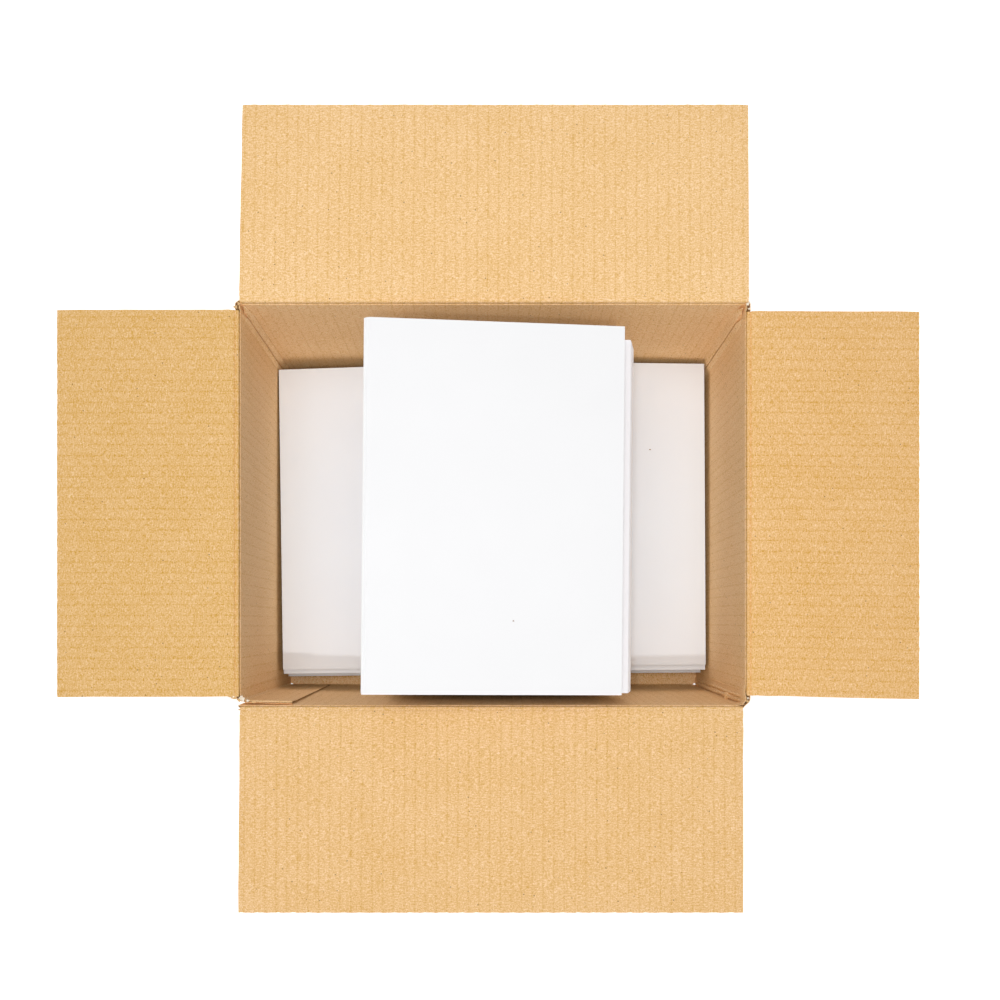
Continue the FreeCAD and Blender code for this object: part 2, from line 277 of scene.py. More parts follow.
@dataclass(frozen=True)
class Paper:
    """A matt paper, whose fibres make it lighter and darker and stand up a little."""

    name: str
    shade: str
    roughness: float
    fibre: float                   # mm, the clumps of fibres
    relief: float                  # strength of the fibres' relief
    relief_depth: float            # mm
    swing: float = 0.0             # how much lighter the fibres' noise makes the paper
    darkest: float = 1.0           # lightness where the noise is 0
    fibre_detail: float = 2.0
    fibre_stretch: float = 1.0     # how much longer they are along Y and Z than along X
    fibre_share: float = 1.0       # weight of the fibres against the second pattern
    second: float = 0.0            # mm, a second pattern over the fibres, or 0 for none
    second_detail: float = 1.0
    ior: float = 1.5

    def material(self) -> Finish:
        """Build the paper's material.

        Returns:
            The material.
        """
        finish = bpy.data.materials.new(self.name)
        finish.use_nodes = True
        tree = finish.node_tree
        colour, height = self._surface(tree, add_node(tree, "ShaderNodeTexCoord", out="Object"))
        relief = add_node(tree, "ShaderNodeBump", {"Strength": self.relief, "Height": height,
                                                   "Distance": self.relief_depth * MM})
        feed(tree.nodes["Principled BSDF"], {"Base Color": colour, "Roughness": self.roughness,
                                             "IOR": self.ior, "Normal": relief})
        return finish

    def _surface(self, tree: Tree, place: Socket) -> tuple[Socket, Socket]:
        """Draw the paper's colour and the height of its fibres.

        Args:
            tree: The material's tree.
            place: Object coordinates.

        Returns:
            Colour and height.
        """
        if self.fibre_stretch != 1:
            squeeze = 1 / self.fibre_stretch
            fibres_at = add_node(tree, MAPPING, {"Vector": place, "Scale": (1, squeeze, squeeze)})
        else:
            fibres_at = place
        fibres = add_node(tree, NOISE, {"Vector": fibres_at, "Scale": 1 / (self.fibre * MM),
                                        "Detail": self.fibre_detail})
        value = fibres
        if self.second:
            second = add_node(tree, NOISE, {"Vector": place, "Scale": 1 / (self.second * MM),
                                            "Detail": self.second_detail})
            value = add_node(tree, MATHS, (fibres, self.fibre_share, second), operation="MULTIPLY_ADD")
        value = add_node(tree, MATHS, (value, self.swing, self.darkest), operation="MULTIPLY_ADD")
        return add_node(tree, "ShaderNodeHueSaturation",
                        {"Value": value, "Color": linear(self.shade)}), fibres


@dataclass(frozen=True)
class KraftLiner(Paper):
    """Unbleached kraft linerboard, the matt brown outside ply of corrugated board.

    Machine-made from recycled and kraft pulp: the eye sees a fine mottled grain, short fibres lying
    mostly across the flutes, dark and pale specks, and faint lines where the liner is glued to each
    flute below it.
    """

    roughness: float = 0.84
    fibre: float = 3.4             # mm long
    fibre_width: float = 0.45      # mm
    relief: float = 0.35
    relief_depth: float = 0.25
    ior: float = 1.45
    flute_pitch: float = 6.35      # mm, a B flute
    glue_line: float = 0.06        # how much darker the paper is over a flute's crest
    # size in mm, detail and weight of the grain of the pulp, and of its clouds
    grain: tuple[float, float, float] = (0.8, 3, 0.72)
    cloud: tuple[float, float, float] = (28, 2, 0.08)
    # mm between specks, their size in mm, share of places that have one, shift, shade and strength
    specks: tuple[tuple, ...] = ((5.5, 0.38, 0.5, 0.0, "#6e4a22", 0.75),
                                 (5.5 * 0.55, 0.3, 0.45, 0.4, "#a67a45", 0.6),
                                 (5.5 * 0.6, 0.34, 0.4, 0.8, "#fbe3b8", 0.55))

    def _surface(self, tree: Tree, place: Socket) -> tuple[Socket, Socket]:
        """Draw the mottle, the glue lines and the specks, and the height of grain and fibres.

        Args:
            tree: The material's tree.
            place: Object coordinates.

        Returns:
            Colour and height.
        """
        sheet = add_node(tree, "ShaderNodeUVMap", uv_map="sheet")
        stretched = add_node(tree, MAPPING,
                             {"Vector": sheet, "Scale": (1, self.fibre / self.fibre_width, 1)})
        fibres, grain, clouds, broken = (
            add_node(tree, NOISE, {"Vector": at, "Scale": 1 / (size * MM), "Detail": detail})
            for at, size, detail in ((stretched, self.fibre, 3), (place, *self.grain[:2]),
                                     (place, *self.cloud[:2]), (place, 2.2, 1)))
        # noise swings narrowly about a half, so each part is centred before it is weighed
        weight = self.grain[2]
        value = add_node(tree, MATHS, (grain, weight, 1 - weight / 2), operation="MULTIPLY_ADD")
        for noise, weight in ((fibres, 0.5), (clouds, self.cloud[2])):
            part = add_node(tree, MATHS, (noise, weight, -weight / 2), operation="MULTIPLY_ADD")
            value = add_node(tree, MATHS, (value, part), operation="ADD")

        # glue lines: a narrow dark stripe over each crest, broken up by the paper
        line = add_node(tree, "ShaderNodeSeparateXYZ", (sheet,))
        broken = add_node(tree, MATHS, (broken, 2.0), operation="MULTIPLY")
        for operation, *terms in (("MULTIPLY", 2 * math.pi / (self.flute_pitch * MM)), ("COSINE",),
                                  ("MAXIMUM", 0.0), ("POWER", 10.0), ("MULTIPLY", broken),
                                  ("MULTIPLY", self.glue_line)):
            line = add_node(tree, MATHS, (line, *terms), operation=operation)
        value = add_node(tree, MATHS, (value, line), operation="SUBTRACT")
        # a denser clump is a little stronger in colour as well as darker
        strength = add_node(tree, MATHS, (value, -1.2, 2.2), operation="MULTIPLY_ADD")
        colour = add_node(tree, "ShaderNodeHueSaturation", {"Saturation": strength, "Value": value,
                                                            "Color": linear(self.shade)})
        for cell, size, share, shift, shade, weight in self.specks:
            moved = add_node(tree, "ShaderNodeVectorMath", (place, (shift, shift, shift)))
            dots = add_node(tree, "ShaderNodeTexVoronoi",
                            {"Vector": moved, "Scale": 1 / (cell * MM), "Randomness": 1.0})
            near = add_node(tree, MATHS, (dots, size / cell), operation="LESS_THAN")
            chance = add_node(tree, "ShaderNodeSeparateColor", (dots.node.outputs["Color"],))
            chosen = add_node(tree, MATHS, (chance, share), operation="LESS_THAN")
            mask = add_node(tree, MATHS, (near, chosen), operation="MULTIPLY")
            mask = add_node(tree, MATHS, (mask, weight), operation="MULTIPLY")
            colour = add_node(tree, "ShaderNodeMix", {0: mask, 6: colour, 7: linear(shade)}, out=2,
                              data_type="RGBA")
        raised = [add_node(tree, MATHS, pair, operation="MULTIPLY")
                  for pair in ((grain, 0.7), (fibres, 0.6))]
        return colour, add_node(tree, MATHS, tuple(raised), operation="ADD")


@dataclass(frozen=True)
class FlutingMedium(Paper):
    """Semi-chemical fluting paper, the wavy inside ply: thinner, browner and rougher than the liner.

    Only its cut edge shows, as a row of small arches along the board's edges.
    """

    name: str = "fluting_paper_corrugated"
    shade: str = "#c79a64"
    roughness: float = 0.9
    fibre: float = 0.7
    swing: float = 0.5
    darkest: float = 0.75
    relief: float = 0.4
    relief_depth: float = 0.2


@dataclass(frozen=True)
class GummedPaper(Paper):
    """Gummed kraft paper tape, pressed wet over the seam below the floor.

    Calendered, so it is smoother and a little shinier than the liner, with fine crosswise wrinkles
    where the gum has pulled it in while drying, and a finer grain over them.
    """

    name: str = "gummed_kraft_paper_tape"
    shade: str = "#cfa06a"
    roughness: float = 0.55
    fibre: float = 7.0             # mm between wrinkles
    fibre_detail: float = 3.0
    fibre_stretch: float = 4.0
    fibre_share: float = 0.25
    second: float = 0.8
    second_detail: float = 2.0
    swing: float = 0.3
    darkest: float = 0.81
    relief: float = 0.5
    relief_depth: float = 0.4


@dataclass(frozen=True)
class CardStock(Paper):
    """Uncoated white card, creased and folded once: matt, a hair off white, with a soft fine tooth.

    The tooth is drawn coarser than the real one of 0.1 mm so that it shows, over faint clouds from
    the forming of the pulp.
    """

    roughness: float = 0.78
    fibre: float = 0.6
    fibre_share: float = 0.6
    second: float = 35.0
    swing: float = 0.03
    darkest: float = 0.976
    relief: float = 0.12
    relief_depth: float = 0.1
    ior: float = 1.45


@dataclass(frozen=True)
class TornPaper(Paper):
    """Torn linerboard, where the ply has split: pale, soft and fuzzy fibres."""

    name: str = "torn_kraft_paper_fibres"
    shade: str = "#f3e6d2"
    roughness: float = 0.95
    fibre: float = 0.5
    fibre_detail: float = 3.0
    swing: float = 0.4
    darkest: float = 0.78
    relief: float = 0.6
    relief_depth: float = 0.2


# ------------------------------------------------------------------------------------------- board


@dataclass
class CorrugatedBoard:
    """Single-wall corrugated board: a wavy fluting paper between two liners.

    Flat board lies in the XY plane with its flutes along Y, and its inner or upper side is +Z.
    """

    thickness: float = 3.0
    pitch: float = 6.35            # mm from one flute to the next
    liner: float = 0.3
    fluting: float = 0.25
    washboard: float = 0.11        # how far a liner sinks between two flutes
    fluting_columns: int = 6       # per flute
    sharp: float = 42.0            # degrees from which an edge of the board stays sharp

    def __post_init__(self) -> None:
        """Build the tree that makes a flat board from its named sizes, once for every panel."""
        self.tree, given = begin_tree(
            "corrugated board", Int=("Columns", "Fluting Columns", "Rows"),
            Float=("Start", "Width", "Length", "Pitch", "Thickness", "Liner", "Fluting", "Washboard"),
            Material=("Liner Finish", "Fluting Finish"))
        tree = self.tree
        here = add_node(tree, "GeometryNodeInputPosition")
        known = dict(given.items(), across=add_node(tree, "ShaderNodeSeparateXYZ", (here,)))
        # each result, how it is worked out, and from which inputs, earlier results and numbers; the
        # upper liner sinks between the crests, and the lower one between the troughs
        for result, operation, *terms in (
                ("first", "MULTIPLY_ADD", "Width", 0.5, "Start"),
                ("on_sheet", "ADD", "across", "first"),
                ("rate", "DIVIDE", 2 * math.pi, "Pitch"),
                ("turn", "MULTIPLY", "on_sheet", "rate"),
                ("crest", "COSINE", "turn"),
                ("half", "MULTIPLY", "Thickness", 0.5),
                ("core", "SUBTRACT", "half", "Liner"),
                ("trough_share", "MULTIPLY_ADD", "crest", -0.5, 0.5),
                ("crest_share", "MULTIPLY_ADD", "crest", 0.5, 0.5),
                ("upper_sink", "MULTIPLY", "Washboard", "trough_share"),
                ("lower_sink", "MULTIPLY", "Washboard", "crest_share"),
                ("upper", "SUBTRACT", "core", "upper_sink"),
                ("lower", "SUBTRACT", "lower_sink", "half"),
                ("half_paper", "MULTIPLY", "Fluting", 0.5),
                ("swing", "SUBTRACT", "core", "half_paper"),
                ("under", "MULTIPLY", "Fluting", -0.5),
                ("wave", "MULTIPLY_ADD", "swing", "crest", "under")):
            known[result] = add_node(tree, MATHS, tuple(known.get(term, term) for term in terms),
                                     operation=operation)
        layers = []
        for height, paper, columns in (("upper", "Liner", "Columns"),
                                       ("wave", "Fluting", "Fluting Columns"),
                                       ("lower", "Liner", "Columns")):
            grid = add_node(tree, "GeometryNodeMeshGrid",
                            {"Size X": given["Width"], "Size Y": given["Length"],
                             "Vertices X": given[columns], "Vertices Y": given["Rows"]})
            down = add_node(tree, "ShaderNodeCombineXYZ", {2: known[height]})
            sheet = add_node(tree, "GeometryNodeSetPosition", {"Geometry": grid, "Offset": down})
            up = add_node(tree, "ShaderNodeCombineXYZ", {2: given[paper]})
            raised = add_node(tree, "GeometryNodeExtrudeMesh",
                              {"Mesh": sheet, "Offset": up, "Offset Scale": 1.0, "Individual": False})
            base = add_node(tree, "GeometryNodeFlipFaces", (sheet,))
            shell = add_node(tree, "GeometryNodeJoinGeometry", ([raised, base],))
            closed = add_node(tree, "GeometryNodeMergeByDistance", {"Geometry": shell, "Distance": 1e-6})
            layers.append(add_node(tree, "GeometryNodeStoreNamedAttribute",
                                   {"Geometry": closed, "Name": "fluting", "Value": paper == "Fluting"},
                                   data_type="BOOLEAN", domain="FACE"))
        board = add_node(tree, "GeometryNodeJoinGeometry", (layers,))
        board = add_node(tree, "GeometryNodeRealizeInstances", (board,))
        board = add_node(tree, "GeometryNodeSetMaterial",
                         {"Geometry": board, "Material": given["Liner Finish"]})
        inside = add_node(tree, "GeometryNodeInputNamedAttribute", {"Name": "fluting"},
                          data_type="BOOLEAN")
        board = add_node(tree, "GeometryNodeSetMaterial", {"Geometry": board, "Selection": inside,
                                                           "Material": given["Fluting Finish"]})
        feed(tree.nodes.new("NodeGroupOutput"), {0: board})

    def cut(self, name: str, start: float, width: float, rows: np.ndarray, place: Placer,
            liner: Finish, fluting: Finish, columns: int = 4) -> Piece:
        """Cut a piece from the flat board and put it in place.

        Args:
            name: Name of the piece.
            start: Where the piece starts across the whole sheet, in mm, so that flutes run on.
            width: How far it reaches across the flutes, in mm.
            rows: Places along the flutes at which the board may bend, in mm.
            place: Puts points of the flat board where they belong.
            liner: Finish of both liners.
            fluting: Finish of the fluting.
            columns: Columns of faces to a flute in the liners.

        Returns:
            The piece.
        """
        halves = math.ceil(width / self.pitch * 2)
        grid_width = halves * self.pitch / 2
        length = float(rows[-1] - rows[0])
        mesh = run_tree(self.tree, {
            "Start": start * MM, "Width": grid_width * MM, "Length": length * MM,
            "Pitch": self.pitch * MM, "Thickness": self.thickness * MM, "Liner": self.liner * MM,
            "Fluting": self.fluting * MM, "Washboard": self.washboard * MM,
            "Columns": halves * columns // 2 + 1,
            "Fluting Columns": halves * self.fluting_columns // 2 + 1, "Rows": len(rows),
            "Liner Finish": liner, "Fluting Finish": fluting})
        mesh.attributes.remove(mesh.attributes["fluting"])
        flat = points_of(mesh)
        across = flat[:, 0] + grid_width / 2
        # the last flute takes up what the grid is wider than the piece
        last = width - self.pitch
        squeeze = self.pitch / (grid_width - last)
        across = np.where(across > last, last + (across - last) * squeeze, across)
        share = (flat[:, 1] / length + 0.5) * (len(rows) - 1)
        along = np.interp(share, np.arange(len(rows)), rows)
        corners = np.empty(len(mesh.loops), dtype=np.int32)
        mesh.loops.foreach_get("vertex_index", corners)
        sheet = np.stack((across + start, along), axis=1) * MM
        layer = mesh.uv_layers.new(name="sheet")
        layer.data.foreach_set("uv", sheet[corners].astype(np.float32).ravel())
        move_points(mesh, place(across + start, along, flat[:, 2]))
        return finish_piece(name, mesh, self.sharp)


def upper_share(through: np.ndarray) -> np.ndarray:
    """Tell how far heights in mm belong to the board's upper side, from 0 at its middle to 1."""
    return np.clip(through / 1.2, 0, 1)


@dataclass
class Crease:
    """Side view of a board that comes along a wall and turns over a crease.

    Places are (out, up) in mm, where out leads away from the carton's middle. Headings are in
    degrees, 0 leading out and 90 up, and the board turns clockwise. Its upper side is on its left.
    """

    wall_start: tuple[float, float]
    wall_heading: float
    flap_point: tuple[float, float]
    flap_heading: float
    flap_reach: float              # from the flap's point to its free edge
    radius: float = 1.2            # of the middle of the board
    crush: float = 0.45            # share of its thickness that the board loses in the turn
    crush_width: float = 2.3
    groove: float = 0.5            # depth of the scored line outside the turn, and how far past the
    groove_past: float = 0.85      # turn's middle it lies
    groove_width: float = 0.4
    bead: float = 0.4              # height of the roll of paper inside it, likewise
    bead_past: float = -0.2
    bead_width: float = 0.6
    turn_step: float = 0.3         # from row to row in the turn, and in the 4 mm beyond it
    near_step: float = 0.8
    end_gap: float = 0.2           # from a row to an end, at least

    def __post_init__(self) -> None:
        """Work out where the board turns."""
        self.first, self.second = math.radians(self.wall_heading), math.radians(self.flap_heading)
        self.ahead = np.array((math.cos(self.first), math.sin(self.first)))
        self.away = np.array((math.cos(self.second), math.sin(self.second)))
        start = np.array(self.wall_start)
        gap = np.array(self.flap_point) - start
        crossed = self.ahead[0] * self.away[1] - self.ahead[1] * self.away[0]
        to_corner = (gap[0] * self.away[1] - gap[1] * self.away[0]) / crossed
        corner = start + to_corner * self.ahead
        past_corner = float((np.array(self.flap_point) - corner) @ self.away)
        back = self.radius * math.tan((self.first - self.second) / 2)
        self.turn_start = to_corner - back
        self.turn_end = self.turn_start + self.radius * (self.first - self.second)
        self.turn_middle = (self.turn_start + self.turn_end) / 2
        self.length = self.turn_end + self.flap_reach + past_corner - back
        self.turn_place = start + self.turn_start * self.ahead

    def rows(self, first: float = 0.0, last: float | None = None, coarse: float = 12.0) -> np.ndarray:
        """List where the board bends, in mm: closely in the turn and its score, widely elsewhere.

        Args:
            first: Where the piece starts along the board, in mm.
            last: Where it ends, or None for the free edge.
            coarse: Distance between rows far from the crease, in mm.

        Returns:
            Places along the board, in mm.
        """
        last = self.length if last is None else last
        fine = np.arange(self.turn_start - 1.0, self.turn_end + 1.2, self.turn_step)
        fine = np.concatenate((fine, np.arange(fine[-1] + 0.6, fine[-1] + 4.0, self.near_step)))
        fine = fine[(fine > first + self.end_gap) & (fine < last - self.end_gap)]
        low = fine[-1] if len(fine) else first
        far = np.array([])
        if last - low > 1:
            steps = max(2, math.ceil((last - low) / coarse))
            far = low + (last - low) * (np.arange(1, steps) / steps) ** 1.3
        return np.concatenate(([first], fine, far, [last]))

    def place(self, along: np.ndarray, through: np.ndarray) -> tuple[np.ndarray, np.ndarray]:
        """Put points of the flat board on the bent one.

        Args:
            along: Places along the board, in mm.
            through: Heights through the board from its middle, in mm.

        Returns:
            How far out and how far up each point is.
        """
        heading = self.first - np.clip((along - self.turn_start) / self.radius, 0,
                                       self.first - self.second)
        before = np.minimum(along - self.turn_start, 0)
        after = np.maximum(along - self.turn_end, 0)
        out = (self.turn_place[0] + before * self.ahead[0] + after * self.away[0]
               + self.radius * (math.sin(self.first) - np.sin(heading)))
        up = (self.turn_place[1] + before * self.ahead[1] + after * self.away[1]
              + self.radius * (np.cos(heading) - math.cos(self.first)))
        thick = through * (1 - self.crush * bump(along, self.turn_middle, self.crush_width))
        for height, past, width in ((-self.groove, self.groove_past, self.groove_width),
                                    (self.bead, self.bead_past, self.bead_width)):
            thick = thick + upper_share(through) * height * bump(along, self.turn_middle + past, width)
        return out - thick * np.sin(heading), up + thick * np.cos(heading)


# ------------------------------------------------------------------------------------------ carton


def stand(side: Side, lateral: np.ndarray, out: np.ndarray, up: np.ndarray) -> np.ndarray:
    """Turn places seen from one side of the carton into places in the frame.

    Args:
        side: Side of the carton.
        lateral: Place along that side, as X or Y in mm.
        out: Distance outwards from the carton's middle, in mm.
        up: Height in mm.

    Returns:
        Places in mm, one row each.
    """
    columns = {Side.FRONT: (lateral, -out, up), Side.BACK: (lateral, out, up),
               Side.LEFT: (-out, lateral, up), Side.RIGHT: (out, lateral, up)}[side]
    return np.stack(np.broadcast_arrays(*columns), axis=1)


@dataclass
class Flap:
    """One flap of the carton with its crease, seen from its own side."""

    side: Side
    crease: Crease
    near: tuple[float, float]      # where its cut edges lie at the crease, in the sheet's order
    far: tuple[float, float]       # and at its free edge
    seed: float
    bow: float = 0.0               # how far its middle rises out of flat, in mm
    under: bool = False            # a bottom flap, which shows the sheet's other face
    ragged: float = 0.22           # how unevenly the knives cut, in mm
    corner_cut: float = 0.0        # how much the cut edges draw in beside the crease, in mm
    cut_pinch: float = 0.18        # share of its thickness that the knives have pressed out at the
    free_pinch: float = 0.22       # cut edges and at the free edge, and how far in that reaches, in mm
    pinch_reach: float = 1.2
    ripple: float = 0.16           # mm, over the whole face

    @property
    def width(self) -> float:
        """Width at the crease, in mm."""
        return abs(self.near[1] - self.near[0])

    def placer(self, start: float) -> Placer:
        """Make the function that puts the flap's points in place.

        Args:
            start: Where the flap starts across the whole sheet, in mm.

        Returns:
            The placing function.
        """
        crease = self.crease
        outwards = np.sign(self.near[1] - self.near[0])

        def place(across: np.ndarray, along: np.ndarray, through: np.ndarray) -> np.ndarray:
            """Put points of the flat board on the flap.

            Args:
                across: Places across the whole sheet, in mm.
                along: Places along the flutes, in mm.
                through: Heights through the board, in mm.

            Returns:
                Places in mm, one row each.
            """
            share = (across - start) / self.width
            past = np.clip((along - crease.turn_end) / (crease.length - crease.turn_end), 0, 1)
            low = self.near[0] + (self.far[0] - self.near[0]) * past
            high = self.near[1] + (self.far[1] - self.near[1]) * past
            drawn_in = self.corner_cut * bump(along, crease.turn_middle, 3.5)
            low = low + outwards * (drawn_in + self.ragged * (0.6 + wander(along, 13, self.seed)))
            high = high - outwards * (drawn_in + self.ragged * (0.6 + wander(along, 11, self.seed + 3)))
            lateral = low + (high - low) * share
            to_cut = np.minimum(share, 1 - share) * self.width
            to_free = crease.length - along
            thick = through * (1 - self.cut_pinch * bump(to_cut, 0, self.pinch_reach)
                               - self.free_pinch * bump(to_free, 0, self.pinch_reach))
            uneven = self.ragged * (0.9 + wander(across, 10, self.seed + 5))
            out, up = crease.place(along - bump(to_free, 0, 4) * uneven,
                                   -thick if self.under else thick)
            arch = self.bow * np.sin(math.pi * share) * np.sin(math.pi * np.minimum(past * 1.2, 1))
            ripple = self.ripple * wander(across + 0.4 * along, 90, self.seed) * past
            return stand(self.side, lateral, out, up + arch + ripple)

        return place


@dataclass
class Carton:
    """Regular slotted carton of one B flute: one sheet, creased, slotted, folded, glued and taped."""

    # how far a post reaches before and after each fold, in mm
    POSTS = ((0.0, 3.1), (3.3, 7.2), (5.8, 0.3), (1.3, 5.0), (3.0, 0.0))
    # a side flap's droop in degrees and reach, its edges at the crease and at the end, and its seed
    SIDE_FLAPS = {Side.LEFT: (3.6, 111.9, (116.1, -114.5), (118.1, -115.3), 1.3),
                  Side.RIGHT: (9.0, 111.78, (-113.9, 115.4), (-117.6, 120.5), 4.1)}
    # sections of the pressed strips and rolls in the corners, in mm from the inner corner: first
    # along the front or back wall, then along the side wall
    PRESSED_LEFT = ((-0.9, -0.9), (4.3, -0.9), (4.3, 0.1), (4.1, 0.9), (1.9, 2.0), (1.5, 2.5), (-0.9, 2.5))
    BESIDE_LEFT = ((-0.9, 3.5), (1.2, 3.5), (1.5, 3.9), (0.6, 5.6), (-0.1, 6.6), (-0.9, 6.6))
    PRESSED_RIGHT = ((-0.9, -0.9), (3.9, -0.9), (3.4, 0.3), (2.1, 3.8), (1.7, 4.5), (-0.9, 4.5))
    BESIDE_RIGHT = ((-0.9, 5.5), (1.4, 5.5), (1.7, 5.9), (0.6, 7.9), (-0.1, 9.0), (-0.9, 9.0))
    PRESSED_FRONT = ((-0.9, 0.6), (0.7, 0.6), (1.2, 1.0), (1.2, 2.5), (0.8, 2.9), (-0.9, 2.9))
    # torn points of board that stand up at the two back corners: number of the fold, and how far past
    # it they lie, how high and how wide they are, in mm
    TORN_POINTS = ((2, -1.5, 1.0, 0.9), (3, 1.7, 1.2, 1.1))
    # where a hand has pushed the front right corner in and, less far, out: share of the dent's depth,
    # how far past the fold and how wide, and how high up and how tall, in mm
    DENTS = ((1.0, 9, 5, 149, 5), (-0.7, 14, 3, 143, 7))
    # knocks that have pushed the tops of both front corners in: number of the fold, way along X, and
    # depth in mm
    KNOCKS = ((1, -1.0, 2.2), (4, 1.0, 1.2))
    # torn bits: place of the root, length, width, heading in degrees, how steeply each stands up,
    # and whether it has split open to the pale fibres inside
    BITS = (((-148.4, -116.4, 155.4), 3.0, 2.4, 165, 16, True),
            ((-149.6, -114.9, 155.2), 2.6, 2.0, 200, 20, True),
            ((-147.2, -117.3, 155.2), 2.2, 1.5, 20, 8, True),
            ((-150.6, -117.2, 156.0), 2.6, 1.8, 140, 16, False),
            ((-153.0, -115.2, 156.2), 3.0, 1.6, 185, 6, False),
            ((-155.2, -114.6, 156.4), 3.4, 1.2, 172, 4, False),
            ((-144.6, -118.2, 152.6), 3.4, 1.0, 8, 4, False),
            ((151.4, -117.0, 156.4), 1.8, 1.3, 330, 12, False),
            ((151.6, -115.6, 156.8), 1.6, 1.0, 20, 25, True),
            ((151.6, 119.0, 156.8), 2.3, 1.6, 52, 22, True),
            ((152.6, 117.2, 157.0), 1.9, 1.2, 285, 12, True),
            ((-152.4, 117.8, 156.8), 2.3, 1.7, 190, 16, False),
            ((-151.2, 119.4, 157.0), 1.8, 1.2, 120, 20, False))

    board: CorrugatedBoard
    wall_x: float = 152.5          # middle of the left and right walls
    rim_y: float = 121.3           # middle of the front and back walls, at their tops
    front_foot: float = 118.5      # and at their feet
    back_foot: float = 112.5
    foot: float = 7.5              # the walls take over from the bottom flaps' turns here
    top: float = 154.5             # and end here, where the top flaps' turns start
    tab_low: float = 10.0          # foot and top of the glue tab, and its free edge
    tab_high: float = 152.0
    tab_end_x: float = -121.0
    corner_radius: float = 2.2
    corner_post: float = 1.7       # how much higher than the flaps' turns the corners stand
    corner_foot: float = 2.8       # and how much lower they reach
    corner_crush: float = 0.4      # share of the board's thickness that a corner has lost
    tab_crush: float = 0.72        # and the glued tab
    tab_spring: float = 0.42       # but this comes back at its loose top, from here up
    tab_spring_low: float = 140.0
    tab_edge_crush: float = 0.8    # where the knife has closed its top edge, and how far down
    tab_edge_reach: float = 0.7
    tab_wear: float = 0.7          # mm that its top edge falls towards its free edge
    bow: float = 0.35              # mm that the walls bulge out
    dent: float = 0.8              # mm at the deepest dent
    knock_width: float = 3.4
    knock_low: float = 118.0       # the knocks start at this height
    knock_high: float = 152.0      # and are deepest from here up
    foot_swell: float = 0.6        # mm that the board swells over the bottom crease, and where
    foot_swell_up: float = 9.5
    foot_swell_reach: float = 2.5
    strip: float = 9.0             # board along the crease that bends when a main flap turns
    hinge_out: float = 124.6       # where the middles of the main flaps pass beside their creases
    hinge_up: float = 156.5        # and how high all four do

    def __post_init__(self) -> None:
        """Lay out the sheet's panels, and buy in its papers."""
        self.folds = np.cumsum((0.0, 306.5, 2 * self.rim_y, 2 * self.wall_x, 2 * self.rim_y - 3.5,
                                self.wall_x + self.tab_end_x))
        self.fluting = FlutingMedium().material()
        # painted light: the five liners are one kraft in five shades, set for the light each part gets; the
        # walls are drawn lighter than plain kraft for the bright inside of the carton, and each flap, whose
        # paper lies at its own angle to the light, is drawn lighter or darker for that angle
        self.liners = {part: KraftLiner(f"kraft_liner_{name}", shade).material()
                       for part, name, shade in (("walls", "walls", "#fcd39d"),
                                                 (Side.LEFT, "left_flap", "#ddb273"),
                                                 (Side.RIGHT, "right_flap", "#e4b678"),
                                                 (Side.BACK, "back_flap", "#ecc38b"),
                                                 (Side.FRONT, "front_flap", "#e3b981"))}

    def on_sheet(self, side: Side, lateral: float) -> float:
        """Tell where a place along a side's rim lies across the flat sheet, in mm.

        Args:
            side: Side of the carton.
            lateral: Place along it, as X or Y in mm.

        Returns:
            Distance from the sheet's first edge, in mm.
        """
        return {Side.FRONT: lateral + 154, Side.RIGHT: self.folds[1] + lateral + self.rim_y,
                Side.BACK: self.folds[2] + self.wall_x - lateral,
                Side.LEFT: self.folds[3] + self.rim_y - lateral}[side]

    def _lean(self, up: np.ndarray) -> np.ndarray:
        """Share of a wall's outward lean that it has at a height."""
        return (up - self.foot) / (self.top - self.foot)

    def _edges(self, sheet: np.ndarray) -> tuple[np.ndarray, np.ndarray]:
        """Find the walls' lower and upper edges, with the posts left standing at the corners.

        Args:
            sheet: Places across the flat sheet, in mm.

        Returns:
            Heights of the lower and the upper edge, in mm.
        """
        post = np.zeros_like(sheet)
        for fold, (before, after) in zip(self.folds, self.POSTS):
            near = (sheet > fold - before) & (sheet < fold + after)
            post = np.maximum(post, near.astype(float))
        high = self.top + post * (self.corner_post + 0.25 * wander(sheet, 5, 1.0))
        for fold, past, height, width in self.TORN_POINTS:
            high = high + height * bump(sheet, self.folds[fold] + past, width)
        low = self.foot - self.corner_foot * post
        tab = sheet > self.folds[4] + 1.5
        worn = self.tab_wear * np.clip((sheet - self.folds[4]) / 30, 0, 1)
        high = np.where(tab, self.tab_high - worn + 0.2 * wander(sheet, 6, 2.0), high)
        return np.where(tab, self.tab_low, low), high

    def _place_wall(self, sheet: np.ndarray, along: np.ndarray, through: np.ndarray) -> np.ndarray:
        """Wrap the flat sheet round the carton's four corners, and fold its glue tab in.

        Args:
            sheet: Places across the flat sheet, in mm.
            along: Places along the flutes, in mm.
            through: Heights through the board, in mm.

        Returns:
            Places in mm, one row each.
        """
        low, high = self._edges(sheet)
        up = low + (along - self.foot) / (self.top - self.foot) * (high - low)
        lean = self._lean(up)
        front = self.front_foot + (self.rim_y - self.front_foot) * lean
        back = self.back_foot + (self.rim_y - self.back_foot) * lean
        x, flat = self.wall_x, np.zeros_like(sheet)
